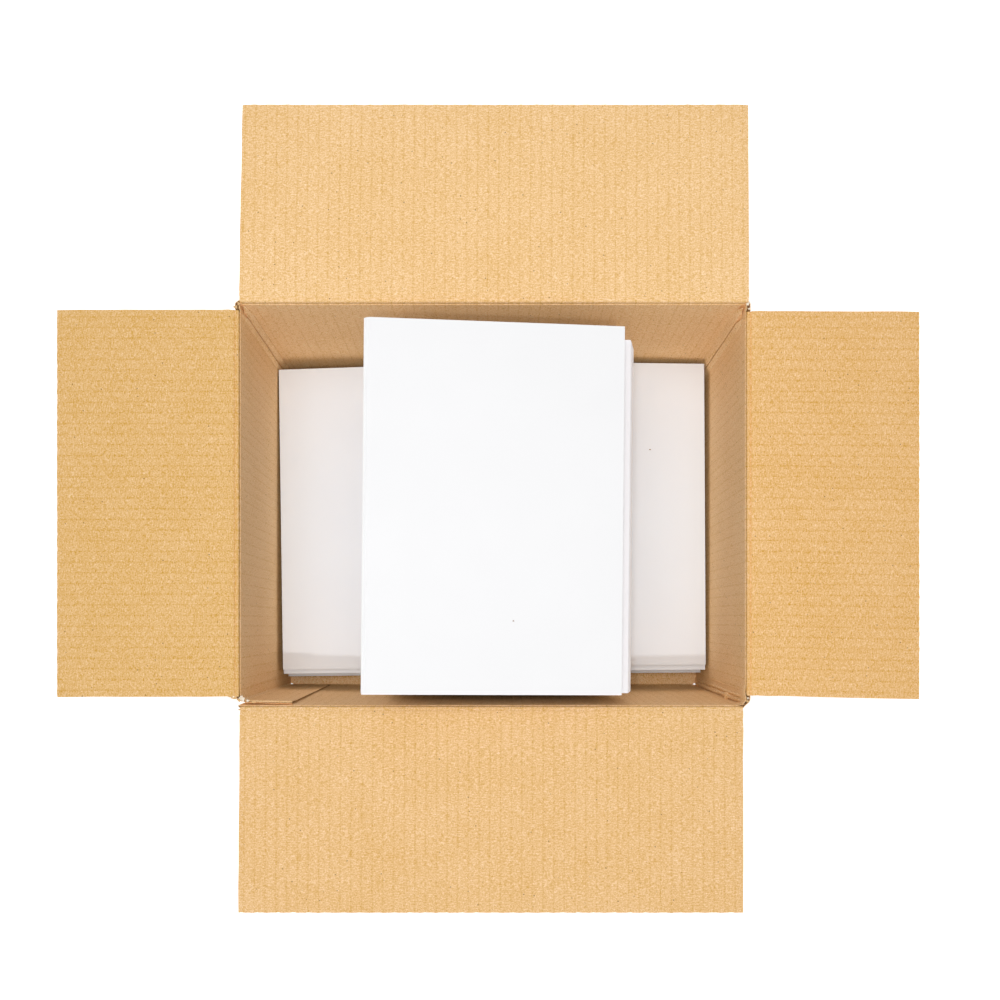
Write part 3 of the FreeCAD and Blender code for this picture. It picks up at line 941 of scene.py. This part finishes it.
        # the tab is glued flat at its foot, and its top stands a little off the front wall
        against = -front + self.board.thickness / 2
        points = [(flat - 152.4, -front), (flat + x, -front), (flat + x, back), (flat - x, back),
                  (flat - x, against + 0.5 + 1.5 * lean),
                  (flat + self.tab_end_x, against + 0.45 + 0.6 * lean)]
        panel = np.clip(np.searchsorted(self.folds, sheet, side="right") - 1, 0, 4)
        corners = np.array(points).transpose(0, 2, 1)
        index = np.arange(len(sheet))
        start, end = corners[panel, index], corners[panel + 1, index]
        share = (sheet - self.folds[panel]) / (self.folds[panel + 1] - self.folds[panel])
        run = end - start
        here = start + run * share[:, None]
        run /= np.linalg.norm(run, axis=1)[:, None]
        inwards = np.stack((-run[:, 1], run[:, 0]), axis=1)
        here, inwards = self._round_corners(sheet, corners, here, inwards)

        nearest = np.min(np.abs(sheet[None, :] - self.folds[1:5, None]), axis=0)
        thick = through * (1 - self.corner_crush * bump(nearest, 0, self.corner_radius))
        pressed = np.clip((sheet - self.folds[4]) / 2, 0, 1)
        spring = self.tab_spring * np.clip((up - self.tab_spring_low) / 8, 0, 1)
        thick = thick * (1 - pressed * (self.tab_crush - spring))
        thick = thick * (1 - self.tab_edge_crush * pressed * bump(high - up, 0, self.tab_edge_reach))
        dent = sum(part * bump(sheet, self.folds[1] + past, width) * bump(up, middle, tall)
                   for part, past, width, middle, tall in self.DENTS)
        bow = self.bow * np.sin(math.pi * share) * np.sin(math.pi * np.clip(lean, 0, 1))
        # the narrow side walls bulge half as far, and only the long walls swell at their feet
        narrow = panel % 2 == 1
        pushed = thick + self.dent * dent - np.where(narrow, bow * 0.5, bow)
        swell = (self.foot_swell * upper_share(through)
                 * bump(up, self.foot_swell_up, self.foot_swell_reach) * ~narrow * (panel < 4))
        here = here + inwards * (pushed + swell)[:, None]
        reached = np.clip((up - self.knock_low) / (self.knock_high - self.knock_low), 0, 1)
        for fold, way, depth in self.KNOCKS:
            knock = depth * bump(sheet, self.folds[fold], self.knock_width) * reached ** 2
            here = here + knock[:, None] * np.array((way, 1.0)) / math.sqrt(2)
        return np.column_stack((here, up))

    def _round_corners(self, sheet: np.ndarray, corners: np.ndarray, here: np.ndarray,
                       inwards: np.ndarray) -> tuple[np.ndarray, np.ndarray]:
        """Round each corner off with an arc that starts and ends on its two panels.

        Args:
            sheet: Places across the flat sheet, in mm.
            corners: X and Y of each fold at each point's height, in mm.
            here: X and Y of each point on its panel, in mm.
            inwards: Inward direction of the panel at each point.

        Returns:
            X and Y and the inward direction at each point, along the arcs where it is near a fold.
        """
        radius = self.corner_radius
        for number, ahead in ((1, (1.0, 0.0)), (2, (0.0, 1.0)), (3, (-1.0, 0.0)), (4, (0.0, -1.0))):
            ahead, left = np.array(ahead), np.array((-ahead[1], ahead[0]))
            off = sheet - self.folds[number]
            angle = np.clip((off + radius) / (2 * radius), 0, 1) * math.pi / 2
            sine, cosine = np.sin(angle)[:, None], np.cos(angle)[:, None]
            arc = (corners[number] - radius * ahead + radius * left
                   + radius * (ahead * sine - left * cosine))
            near = (np.abs(off) < radius)[:, None]
            here = np.where(near, arc, here)
            inwards = np.where(near, left * cosine - ahead * sine, inwards)
        return here, inwards

    def walls(self) -> Piece:
        """Wrap the four walls and the glue tab from one sheet.

        Returns:
            The walls.
        """
        rows = np.array((7.5, 9, 11, 16, 35, 70, 105, 130, 141, 147, 150.5, 152.5, 153.6, 154.1,
                         154.5))
        return self.board.cut("carton_walls", 0.0, float(self.folds[-1]), rows, self._place_wall,
                              self.liners["walls"], self.fluting, columns=6)

    def corner_folds(self) -> Piece:
        """Make the pressed strips and rolls of paper that the corner folds have raised inside the walls.

        Each is a section swept up its corner.

        Returns:
            The strips and rolls as one piece.
        """
        right = self.wall_x - self.board.thickness / 2
        left = -right
        # corner, end of the carton, section, lowest and highest point, and its swelling at 111 mm
        strips = [(left, 1, self.PRESSED_LEFT, 10.0, 154.5, 0.0),
                  (left, 1, self.BESIDE_LEFT, 10.0, 153.0, 0.0),
                  (right, 1, self.PRESSED_RIGHT, 10.0, 154.0, 0.0),
                  (right, 1, self.BESIDE_RIGHT, 10.0, 152.0, 0.0),
                  (right, -1, self.PRESSED_FRONT, 12.0, 150.0, 1.3)]
        # rolls beside them, as thin sections on the side wall: corner, end, distance, radius
        for side, end, distance, radius in ((right, -1, 4.5, 0.8), (right, -1, 8.6, 0.28),
                                            (left, -1, 9.6, 0.22)):
            section = tuple((0.15 + radius * math.cos(turn), distance + radius * math.sin(turn))
                            for turn in np.arange(8) / 8 * 2 * math.pi)
            strips.append((side, end, section, 9.0, 151.0, 0.0))
        shells = bmesh.new()
        rings_each = 70
        for number, (side, end, section, low, high, swell) in enumerate(strips):
            rings = []
            inward, order = -np.sign(side), 1 if (side < 0) == (end < 0) else -1
            middle = np.mean(section, axis=0)
            foot = self.back_foot if end > 0 else self.front_foot
            for up in np.linspace(low, high, rings_each):
                face = foot + (self.rim_y - foot) * float(self._lean(np.array(up))) - self.board.thickness / 2
                here = np.array([up])
                sway = 0.22 * wander(here, 55, number)[0] + 0.08 * wander(here, 9, number)[0]
                # a strip tapers over its lowest 3 mm and its highest 13 mm
                close = min(1.0, 0.2 + (up - low) / 4, 0.1 + (high - up) / 14)
                grown = 1 + swell * bump(here, 111, 2.6)[0]
                ring = []
                for along, off in section[::order]:
                    along = (middle[0] + (along - middle[0]) * close) * (grown if along > 0 else 1.0)
                    off = middle[1] + (off - middle[1]) * close * grown + sway
                    spot = Vector((side + inward * along, end * (face - off), up))
                    ring.append(shells.verts.new(spot * MM))
                rings.append(ring)
            for before, after in zip(rings, rings[1:]):
                for first in range(len(section)):
                    second = (first + 1) % len(section)
                    shells.faces.new((before[first], before[second], after[second], after[first]))
            shells.faces.new(rings[0][::-1])
            shells.faces.new(rings[-1])
        piece = finish_piece("corner_folds", shells, 28, self.liners["walls"])
        sheet_map = piece.data.uv_layers.new(name="sheet")
        for loop in piece.data.loops:
            spot = piece.data.vertices[loop.vertex_index].co
            sheet_map.data[loop.index].uv = (spot.x + spot.y, spot.z)
        return piece

    def _cut_flap(self, name: str, flap: Flap, rows: np.ndarray, liner: Finish) -> Piece:
        """Cut one flap, or a part of it along its creases, from the sheet."""
        start = self.on_sheet(flap.side, flap.near[0])
        return self.board.cut(name, start, flap.width, rows, flap.placer(start), liner, self.fluting)

    def side_flap(self, side: Side) -> Piece:
        """Make a side flap, which no joint turns, as one piece from its wall to its free edge.

        Args:
            side: Side.LEFT or Side.RIGHT.

        Returns:
            The flap.
        """
        droop, reach, near, far, seed = self.SIDE_FLAPS[side]
        crease = Crease((self.wall_x, self.top), 90.0, (self.wall_x - 1.5, self.hinge_up), -droop, reach,
                        groove=0.8, bead=0.6)
        return self._cut_flap(f"{side.value}_side_flap", Flap(side, crease, near, far, seed, bow=0.5),
                              crease.rows(), self.liners[side])

    def main_flap(self, side: Side) -> list[Piece]:
        """Make a back or front flap as a strip that bends at the crease and the board beyond it.

        Args:
            side: Side.BACK or Side.FRONT.

        Returns:
            The bending strip and the board.
        """
        foot, heading, near, far, seed = {
            Side.BACK: (self.back_foot, -3.3, (152.7, -151.2), (153.9, -150.9), 2.2),
            Side.FRONT: (self.front_foot, 2.8, (-150.9, 149.2), (-150.4, 147.9), 5.7)}[side]
        lean = math.degrees(math.atan2(self.rim_y - foot, self.top - self.foot))
        crease = Crease((self.rim_y, self.top), 90 - lean, (self.hinge_out, self.hinge_up), heading, 117.2,
                        groove=0.25, bead=0.3)
        flap = Flap(side, crease, near, far, seed, bow=-0.4)
        return [self._cut_flap(f"{side.value}_{part}", flap, rows, self.liners[side])
                for part, rows in (("crease", crease.rows(0.0, self.strip, coarse=2.0)),
                                   ("flap_board", crease.rows(self.strip)))]

    def bottom_flap(self, side: Side) -> Piece:
        """Make a bottom flap, folded in at the foot of its wall.

        Args:
            side: Side of the carton.

        Returns:
            The flap.
        """
        # its wall, how far that leans, height of the flap's middle, reach, edges and drawn-in corners
        out, lean, level, reach, near, corner_cut = {
            Side.FRONT: (self.front_foot, 2.8, 1.66, 114.75, (-153.2, 153.2), 3.6),
            Side.BACK: (self.back_foot, 8.8, 1.66, 110.25, (153.2, -153.2), 3.6),
            Side.LEFT: (self.wall_x, 0.0, 4.5, 123.5, (110.6, -116.6), 1.0),
            Side.RIGHT: (self.wall_x, 0.0, 4.5, 123.5, (-116.6, 110.6), 1.0)}[side]
        heading = -90 - math.degrees(math.atan2(lean, self.top - self.foot))
        crease = Crease((out, self.foot), heading, (out, level), -180.0, reach, groove=0, bead=0,
                        radius=1.0, crush=0.5)
        flap = Flap(side, crease, near, near, seed=7.0, under=True, corner_cut=corner_cut)
        return self._cut_flap(f"{side.value}_bottom_flap", flap, crease.rows(coarse=40.0),
                              self.liners["walls"])

    def torn_bits(self) -> Piece:
        """Make the frayed paper at the rim's corners.

        Returns:
            The torn bits as one piece.
        """
        shards = bmesh.new()
        rng = np.random.default_rng(41)
        steps, half_tip, half_ply, curl, uneven = 7, 0.12, 0.12, 0.9, 0.5
        for root, length, width, heading, rise, split in self.BITS:
            ahead = Vector((math.cos(math.radians(heading)), math.sin(math.radians(heading)),
                            math.tan(math.radians(rise)))).normalized()
            side = ahead.cross(Vector((0, 0, 1))).normalized()
            normal = side.cross(ahead)
            upper, lower, faces = [], [], []
            for step in range(steps):
                share = step / (steps - 1)
                half = width / 2 * (1 - share ** 1.5) + half_tip
                middle = Vector(root) + ahead * (length * share) + normal * (curl * share ** 2)
                for sign in (-1, 1):
                    spot = middle + side * (sign * half * (1 + uneven * (rng.random() - 0.5)))
                    spot += ahead * (uneven * (rng.random() - 0.5))
                    upper.append(shards.verts.new((spot + normal * half_ply) * MM))
                    lower.append(shards.verts.new((spot - normal * half_ply) * MM))
            for at in range(0, 2 * steps - 2, 2):
                faces += [(upper[at], upper[at + 1], upper[at + 3], upper[at + 2]),
                          (lower[at], lower[at + 2], lower[at + 3], lower[at + 1]),
                          (upper[at], upper[at + 2], lower[at + 2], lower[at]),
                          (upper[at + 1], lower[at + 1], lower[at + 3], upper[at + 3])]
            faces += [(upper[0], lower[0], lower[1], upper[1]), (upper[-2], upper[-1], lower[-1], lower[-2])]
            for corners in faces:
                shards.faces.new(corners).material_index = 0 if split else 1
        return finish_piece("torn_paper_bits", shards, 50, TornPaper().material(),
                            TornPaper("torn_kraft_liner", "#d9b37f").material())

    def build(self) -> None:
        """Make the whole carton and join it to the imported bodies."""
        fixed = [self.walls(), self.side_flap(Side.LEFT), self.side_flap(Side.RIGHT)]
        fixed += [self.bottom_flap(side) for side in Side]
        fixed += [self.corner_folds(), self.torn_bits()]
        for piece in fixed:
            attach(piece, "carton")
            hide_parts("carton_body")
            report(piece)
        for side, body, way in ((Side.BACK, "back_flap", 1), (Side.FRONT, "front_flap", -1)):
            strip, board = self.main_flap(side)
            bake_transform(strip)
            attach(board, body)
            for piece in (strip, board):
                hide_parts(body)
                report(piece)
        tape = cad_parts["bottom_tape"]
        tape.data.materials.clear()
        tape.data.materials.append(GummedPaper().material())


# ------------------------------------------------------------------------------------------- cards


@dataclass
class Wedge:
    """The room that a bundle of cards fills: a wedge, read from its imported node.

    Across runs from left to right, square to the folds. Along runs from front to back.
    """

    node: str
    end_reach: float = 20.0        # mm from an end in which its highest point belongs to the top

    def __post_init__(self) -> None:
        """Measure the node's mesh."""
        points = np.unique(np.round(points_of(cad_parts[self.node].data), 3), axis=0)
        high = points[np.argsort(points[:, 2])[-2:]]
        fold = high[np.argmax(high[:, 1])] - high[np.argmin(high[:, 1])]
        fold[2] = 0
        self.along = fold / np.linalg.norm(fold)
        self.across = np.array((self.along[1], -self.along[0], 0.0))
        self.middle = points.mean(axis=0) * (1, 1, 0)
        off = points - self.middle
        depth = off @ self.along
        front = off[depth < depth.min() + 1]
        across, up = front @ self.across, front[:, 2]
        order = np.argsort(across)
        across, up = across[order], up[order]
        # the higher point at each end belongs to the upper face
        top = np.zeros(len(up), dtype=bool)
        for end in (across < across[0] + self.end_reach, across > across[-1] - self.end_reach):
            ends = np.flatnonzero(end)
            top[ends[np.argmax(up[ends])]] = True
        self.top_across, self.top_up = across[top], up[top]
        self.low_across, self.low_up = across[~top], up[~top]

    def _line(self, across: np.ndarray, known: np.ndarray, up: np.ndarray) -> np.ndarray:
        """Find the height of a face made of straight parts, carried on past both its ends.

        Args:
            across: Places across the cards, in mm.
            known: Places of the face's corners.
            up: Heights of those corners.

        Returns:
            Height at each place, in mm.
        """
        inner = np.interp(across, known, up)
        left = up[0] + (across - known[0]) * (up[1] - up[0]) / (known[1] - known[0])
        right = up[-1] + (across - known[-1]) * (up[-1] - up[-2]) / (known[-1] - known[-2])
        return np.where(across < known[0], left, np.where(across > known[-1], right, inner))

    def place(self, share: np.ndarray, along: np.ndarray, rise: np.ndarray) -> np.ndarray:
        """Put points of a level pile in the wedge.

        Args:
            share: Place across the cards, 0 at their left edge and 1 at their right.
            along: Place along their folds from their middle, in mm.
            rise: Share of the bundle's height.

        Returns:
            Places in mm, one row each.
        """
        left = self.low_across[0] + (self.top_across[0] - self.low_across[0]) * rise
        right = self.low_across[-1] + (self.top_across[-1] - self.low_across[-1]) * rise
        across = left + (right - left) * share
        low = self._line(across, self.low_across, self.low_up)
        high = self._line(across, self.top_across, self.top_up)
        placed = across[:, None] * self.across + along[:, None] * self.along + self.middle
        placed[:, 2] = low + (high - low) * rise
        return placed

    def top(self, x: float, y: float) -> float:
        """Height of the upper face at a place in mm."""
        across = (np.array((x, y, 0.0)) - self.middle) @ self.across
        return float(self._line(np.array([across]), self.top_across, self.top_up)[0])

    def height(self) -> float:
        """Height of the wedge at its middle, in mm."""
        return self.top(*self.middle[:2]) - float(np.interp(0.0, self.low_across, self.low_up))


def hairpin(name: str, outer: np.ndarray, inner: np.ndarray, ends: np.ndarray) -> Mesh:
    """Sweep a folded card's section along its fold as one closed shell.

    Args:
        name: Name of the mesh.
        outer: Outer line of the section, from one open edge round the fold to the other, as rows
            of place across in mm and height.
        inner: Inner line, with as many points.
        ends: Places along the fold of the rows of points, in mm.

    Returns:
        The mesh, in m.
    """
    count = len(outer)
    points = [(x * MM, y * MM, z * MM) for y in ends for x, z in np.concatenate((outer, inner))]
    faces = []
    for near in range(0, 2 * count * (len(ends) - 1), 2 * count):
        far = near + 2 * count
        for first in range(count - 1):
            after = first + 1
            faces.append((near + first, near + after, far + after, far + first))
            faces.append((near + count + after, near + count + first, far + count + first,
                          far + count + after))
        for edge in (0, count - 1):
            faces.append((near + edge, far + edge, far + count + edge, near + count + edge))
    for at in (0, 2 * count * (len(ends) - 1)):
        for first in range(at, at + count - 1):
            faces.append((first + 1, first, first + count, first + count + 1))
    mesh = bpy.data.meshes.new(name)
    mesh.from_pydata(points, [], faces)
    return mesh


@dataclass
class FoldedCard:
    """A blank card folded once, lying flat: two leaves that meet in a round fold.

    Its thickness counts as 1, so that a pile can squeeze it to fit.
    """

    fold: Fold
    width: float = 148.0
    length: float = 210.0
    round_out: float = 1.5         # mm that the fold's roundness takes up

    def mesh(self, name: str) -> Mesh:
        """Build one card as a closed shell of 54 faces, with one unit of height as 1 mm.

        Args:
            name: Name of the mesh.

        Returns:
            The mesh.
        """
        half, start = self.width / 2, self.width / 2 - self.round_out
        spread = (-half, -half / 2, 0.0, half / 2, start)
        outer = [(x, 0.04) for x in spread]
        outer += [(start + 1.05, 0.14), (half, 0.36), (half, 0.62), (start + 1.05, 0.84)]
        outer += [(x, 0.94) for x in reversed(spread)]
        inner = [(x, 0.42) for x in spread]
        inner += [(start + 0.25, 0.44), (start + 0.4, 0.47), (start + 0.4, 0.51), (start + 0.25, 0.54)]
        inner += [(x, 0.56) for x in reversed(spread)]
        turned = (self.fold.value, 1)
        ends = np.array((-self.length / 2, self.length / 2))
        return hairpin(name, np.array(outer) * turned, np.array(inner) * turned, ends)


class CardPile:
    """A level pile of folded cards, each slipped and turned a little, ready to be fitted in a wedge.

    One unit of its height is one card.
    """

    def __init__(self) -> None:
        """Build the pile's tree once, for every bundle."""
        tree, given = begin_tree("pile of cards", Int=("Count", "Seed"), Object=("Card",),
                                 Float=("Slip Across", "Slip Along", "Skew"), Material=("Finish",))
        self.tree = tree
        line = add_node(tree, "GeometryNodeMeshLine", {"Count": given["Count"], "Offset": (0, 0, 1 * MM)})
        most = add_node(tree, "ShaderNodeCombineXYZ", (given["Slip Across"], given["Slip Along"]))
        least = add_node(tree, "ShaderNodeVectorMath", {0: most, "Scale": -1.0}, operation="SCALE")
        slip = add_node(tree, "FunctionNodeRandomValue", {0: least, 1: most, "Seed": given["Seed"]},
                        data_type="FLOAT_VECTOR")
        slipped = add_node(tree, "GeometryNodeSetPosition", {"Geometry": line, "Offset": slip})
        back = add_node(tree, MATHS, (given["Skew"], -1.0), operation="MULTIPLY")
        other_seed = add_node(tree, MATHS, (given["Seed"], 100.0), operation="ADD")
        skew = add_node(tree, "FunctionNodeRandomValue",
                        {2: back, 3: given["Skew"], "Seed": other_seed}, out=1, data_type="FLOAT")
        turn = add_node(tree, "ShaderNodeCombineXYZ", {2: skew})
        card = add_node(tree, "GeometryNodeObjectInfo", {"Object": given["Card"]}, out="Geometry")
        placed = add_node(tree, "GeometryNodeInstanceOnPoints",
                          {"Points": slipped, "Instance": card, "Rotation": turn})
        real = add_node(tree, "GeometryNodeRealizeInstances", (placed,))
        dressed = add_node(tree, "GeometryNodeSetMaterial",
                           {"Geometry": real, "Material": given["Finish"]})
        feed(tree.nodes.new("NodeGroupOutput"), {0: dressed})


@dataclass
class CardStack:
    """One stack of cards: its bundles, bottom first, and the loose card on top."""

    name: str
    card: FoldedCard
    bundles: tuple[str, ...]
    finish: Finish
    top_finish: Finish
    pile: CardPile
    seed: int
    card_thickness: float = 0.85   # mm folded, at the middle of its width
    slip: tuple[float, float] = (0.14, 0.16)    # mm that a card may slip across and along
    skew: float = 0.035            # degrees that it may turn
    set_back: float = 0.0          # how far the top card lies behind the cards below it
    wave: float = 0.10             # mm that the top card rises, and how far it can sink
    sink: float = -0.04

    def _bundle(self, card: Piece, number: int, bundle: str) -> Piece:
        """Fill one bundle's wedge with cards.

        Args:
            card: One folded card.
            number: Place of the bundle in the stack, from 0 at the bottom.
            bundle: Name of the bundle.

        Returns:
            The bundle's cards as one piece.
        """
        node = f"{self.name}_{bundle}"
        wedge = Wedge(node)
        count = max(2, round(wedge.height() / self.card_thickness))
        mesh = run_tree(self.pile.tree, {
            "Count": count, "Card": card, "Slip Across": self.slip[0] * MM,
            "Slip Along": self.slip[1] * MM, "Skew": math.radians(self.skew),
            "Seed": self.seed + number, "Finish": self.finish})
        level = points_of(mesh)
        share = level[:, 0] / self.card.width + 0.5
        move_points(mesh, wedge.place(share, level[:, 1], level[:, 2] / count))
        return finish_piece(f"{node}_cards", mesh, 40)

    def _top_card(self) -> Piece:
        """Make the loose top card: finer than the others, a little wavy, with its pressed fold line.

        Returns:
            The card.
        """
        node = f"{self.name}_top_card"
        fold, half = self.card.fold.value, self.card.width / 2
        # the fold line lies 2.2 mm from the fold's edge, and shows as a narrow groove
        near = np.array((0.0, 0.4, 1.0, 1.7, 2.0, 2.2, 2.4, 2.8, 4, 8, 18, 34, 52, 70, 90, 112, 132, 144,
                         self.card.width))
        rounded = 0.42 * np.exp(-near / 0.55)
        upper = 0.95 - rounded - 0.16 * bump(near, 2.2, 0.32)
        inside = np.maximum(near, 0.9 + 0.05 * near)
        outer, inner = (
            np.stack((fold * (half - np.concatenate((places[::-1], places))),
                      np.concatenate((over[::-1], below))), axis=1)
            for places, over, below in ((near, upper, 0.05 + rounded),
                                        (inside, np.full(len(near), 0.56), np.full(len(near), 0.44))))
        rows = np.linspace(-self.card.length / 2, self.card.length / 2, 29)
        mesh = hairpin(node, outer, inner, np.concatenate((rows[:-1], [rows[-1] - 1.2, rows[-1]])))
        level = points_of(mesh)
        from_end = self.card.length / 2 - level[:, 1]
        # the fold's back end is nipped in by the knife
        nipped = 0.6 * bump(from_end, 0, 1.5) * bump((half - fold * level[:, 0]), 0, 1.6)
        placed = Wedge(node).place(level[:, 0] / self.card.width + 0.5,
                                   level[:, 1] + self.set_back - nipped, level[:, 2])
        wave = self.wave * wander(level[:, 0] * 0.8 + level[:, 1] * 0.3, 130, self.seed)
        edge = half - np.abs(level[:, 0])
        placed[:, 2] += np.maximum(wave, self.sink) * np.clip(edge / 20, 0, 1)
        move_points(mesh, placed)
        return finish_piece(f"{node}_blank", mesh, 35, self.top_finish)

    def build(self) -> None:
        """Make the whole stack and join it to the carton's body."""
        card = add_object(f"{self.name}_card", self.card.mesh(f"{self.name}_card"))
        pieces = [self._bundle(card, number, bundle) for number, bundle in enumerate(self.bundles)]
        bpy.data.objects.remove(card)
        pieces.append(self._top_card())
        for piece, part in zip(pieces, (*self.bundles, "top_card")):
            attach(piece, "carton")
            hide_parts(f"{self.name}_{part}")
            report(piece)


def crumbs(stacks: dict[str, Wedge]) -> Piece:
    """Scatter the two small kraft crumbs that lie on the cards.

    Args:
        stacks: Wedge of each stack's top card, by the stack's name.

    Returns:
        The crumbs as one piece.
    """
    grains = bmesh.new()
    for name, x, y, size in (("right", 109.3, 50.1, 0.5), ("upper", 11.7, -69.4, 0.4)):
        up = stacks[name].top(x, y) + 0.1
        made = bmesh.ops.create_icosphere(grains, subdivisions=1, radius=size * MM)
        for vertex in made["verts"]:
            uneven = 1 + 0.3 * math.sin(vertex.co.x * 9000 + vertex.co.y * 5000)
            vertex.co = Vector((vertex.co.x * 1.3, vertex.co.y * 0.8, vertex.co.z * 0.5)) * uneven
            vertex.co += Vector((x, y, up)) * MM
    return finish_piece("kraft_crumbs", grains, 40, TornPaper("kraft_crumb_fibres", "#8a6236").material())


# ------------------------------------------------------------------------------------------ studio


@dataclass(frozen=True)
class StudioPaper:
    """White background paper: matt and even, so that only a soft shadow tells where it lies."""

    name: str = "white_background_paper"
    shade: str = "#ffffff"
    lift: float = 0.42             # light added for the camera alone, so that the paper stays white
    roughness: float = 0.9

    def material(self) -> Finish:
        """Build the paper's material.

        Returns:
            The material.
        """
        finish = bpy.data.materials.new(self.name)
        finish.use_nodes = True
        tree = finish.node_tree
        rays = add_node(tree, "ShaderNodeLightPath").node.outputs
        seen = add_node(tree, MATHS, (rays["Is Camera Ray"], rays["Is Glossy Ray"]),
                        operation="MAXIMUM")
        lift = add_node(tree, MATHS, (seen, self.lift), operation="MULTIPLY")
        feed(tree.nodes["Principled BSDF"],
             {"Base Color": linear(self.shade), "Roughness": self.roughness, "Specular IOR Level": 0.1,
              "Emission Color": linear("#ffffff"), "Emission Strength": lift})
        return finish


@dataclass(frozen=True)
class Lamp:
    """A round soft lamp that leans away from straight overhead and points at the carton."""

    name: str
    power: float                   # W
    size: float                    # mm across
    distance: float                # mm from the carton's middle
    lean: float                    # degrees from straight above towards the front, less than 0 behind
    aside: float = 0.0             # degrees towards the left

    def hang(self) -> None:
        """Hang the lamp and aim it."""
        light = bpy.data.lights.new(self.name, "AREA")
        light.shape = "DISK"
        light.size = self.size * MM
        light.energy = self.power
        lamp = add_object(self.name, light)
        away = Vector((-math.tan(math.radians(self.aside)), -math.tan(math.radians(self.lean)), 1))
        away.normalize()
        lamp.location = Vector((0, 0, 150 * MM)) + away * self.distance * MM
        lamp.rotation_euler = away.to_track_quat("Z", "Y").to_euler()


@dataclass
class Studio:
    """A white floor, an even white room, a soft box overhead, and two small lamps."""

    # the camera hangs over the carton and looks straight down
    camera_place: tuple[float, float, float] = (1.3, -70.0, 750.0)
    lens: float = 35.82
    shift: tuple[float, float] = (0.005, 0.122)
    room_strength: float = 0.515
    # the soft box lights the inside of the carton, the front lamp draws its front wall's shadow,
    # and the small low lamp over its middle picks out the steps and the narrow gaps
    lamps: tuple[Lamp, ...] = (Lamp("overhead_soft_box", 10.5, 1200.0, 1900.0, -6.0, 4.0),
                               Lamp("front_lamp", 7.8, 50.0, 2200.0, 18.1),
                               Lamp("low_lamp", 0.88, 60.0, 700.0, 3.7, 2.0))
    floor_size: float = 6000.0
    floor_gap: float = 0.3         # mm between the floor and the carton

    def _floor(self) -> None:
        """Lay the floor just under the carton."""
        mesh = bpy.data.meshes.new("studio_floor")
        grid = bmesh.new()
        bmesh.ops.create_grid(grid, x_segments=8, y_segments=8, size=self.floor_size / 2 * MM)
        bmesh.ops.translate(grid, verts=grid.verts, vec=(0, 0, -self.floor_gap * MM))
        grid.to_mesh(mesh)
        grid.free()
        mesh.materials.append(StudioPaper().material())
        add_object("studio_floor", mesh)

    def _room(self) -> None:
        """Light the scene evenly from all round, and show plain white behind it."""
        world = bpy.data.worlds.new("white_studio_room")
        bpy.context.scene.world = world
        world.use_nodes = True
        tree = world.node_tree
        seen = add_node(tree, "ShaderNodeLightPath", out="Is Camera Ray")
        strength = add_node(tree, MATHS, (seen, 1 - self.room_strength, self.room_strength),
                            operation="MULTIPLY_ADD")
        feed(tree.nodes["Background"], {"Color": linear("#ffffff"), "Strength": strength})

    def _camera(self) -> None:
        """Set the camera up, looking straight down with the carton's back at the top of the frame."""
        lens = bpy.data.cameras.new("camera")
        lens.sensor_width = 36
        lens.lens = self.lens
        lens.shift_x, lens.shift_y = self.shift
        lens.clip_start, lens.clip_end = 0.01, 20
        lens.dof.use_dof = False
        camera = add_object("camera", lens)
        camera.location = Vector(self.camera_place) * MM
        bpy.context.scene.camera = camera

    def build(self) -> None:
        """Set the whole studio up."""
        bpy.context.scene.view_settings.view_transform = "Standard"
        self._floor()
        self._room()
        for lamp in self.lamps:
            lamp.hang()
        self._camera()


def main() -> None:
    """Build the carton, the three stacks of cards and the studio."""
    logging.basicConfig(level=logging.INFO, format="%(name)s %(message)s")
    Carton(CorrugatedBoard()).build()
    pile = CardPile()
    # painted light: the three stacks are one white card stock in three shades, set for the light each gets;
    # the carton throws warm light on the lower cards, so their paper is drawn a little bluer, and the loose
    # top card is drawn a little greyer for the stronger light on it
    shaded = CardStock("white_card_lower_stacks", "#f1f7ff").material()
    open_card = CardStock("white_card_upper_stack", "#f4f2f4").material()
    top_card = CardStock("white_card_on_top", "#ebebec").material()
    lower = ("bottom_bundle", "middle_bundle", "top_bundle")
    upper = ("bottom_bundle", "lower_bundle", "middle_bundle", "stepped_bundle", "face_bundle")
    left_fold, right_fold = FoldedCard(Fold.LEFT), FoldedCard(Fold.RIGHT)
    stacks = (CardStack("left", right_fold, lower, shaded, shaded, pile, 10),
              CardStack("right", left_fold, lower, shaded, shaded, pile, 20),
              CardStack("upper", left_fold, upper, open_card, top_card, pile, 30, set_back=0.8))
    for stack in stacks:
        stack.build()
    bits = crumbs({stack.name: Wedge(f"{stack.name}_top_card") for stack in stacks})
    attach(bits, "carton")
    report(bits)
    Studio().build()


if __name__ == "__main__":
    main()
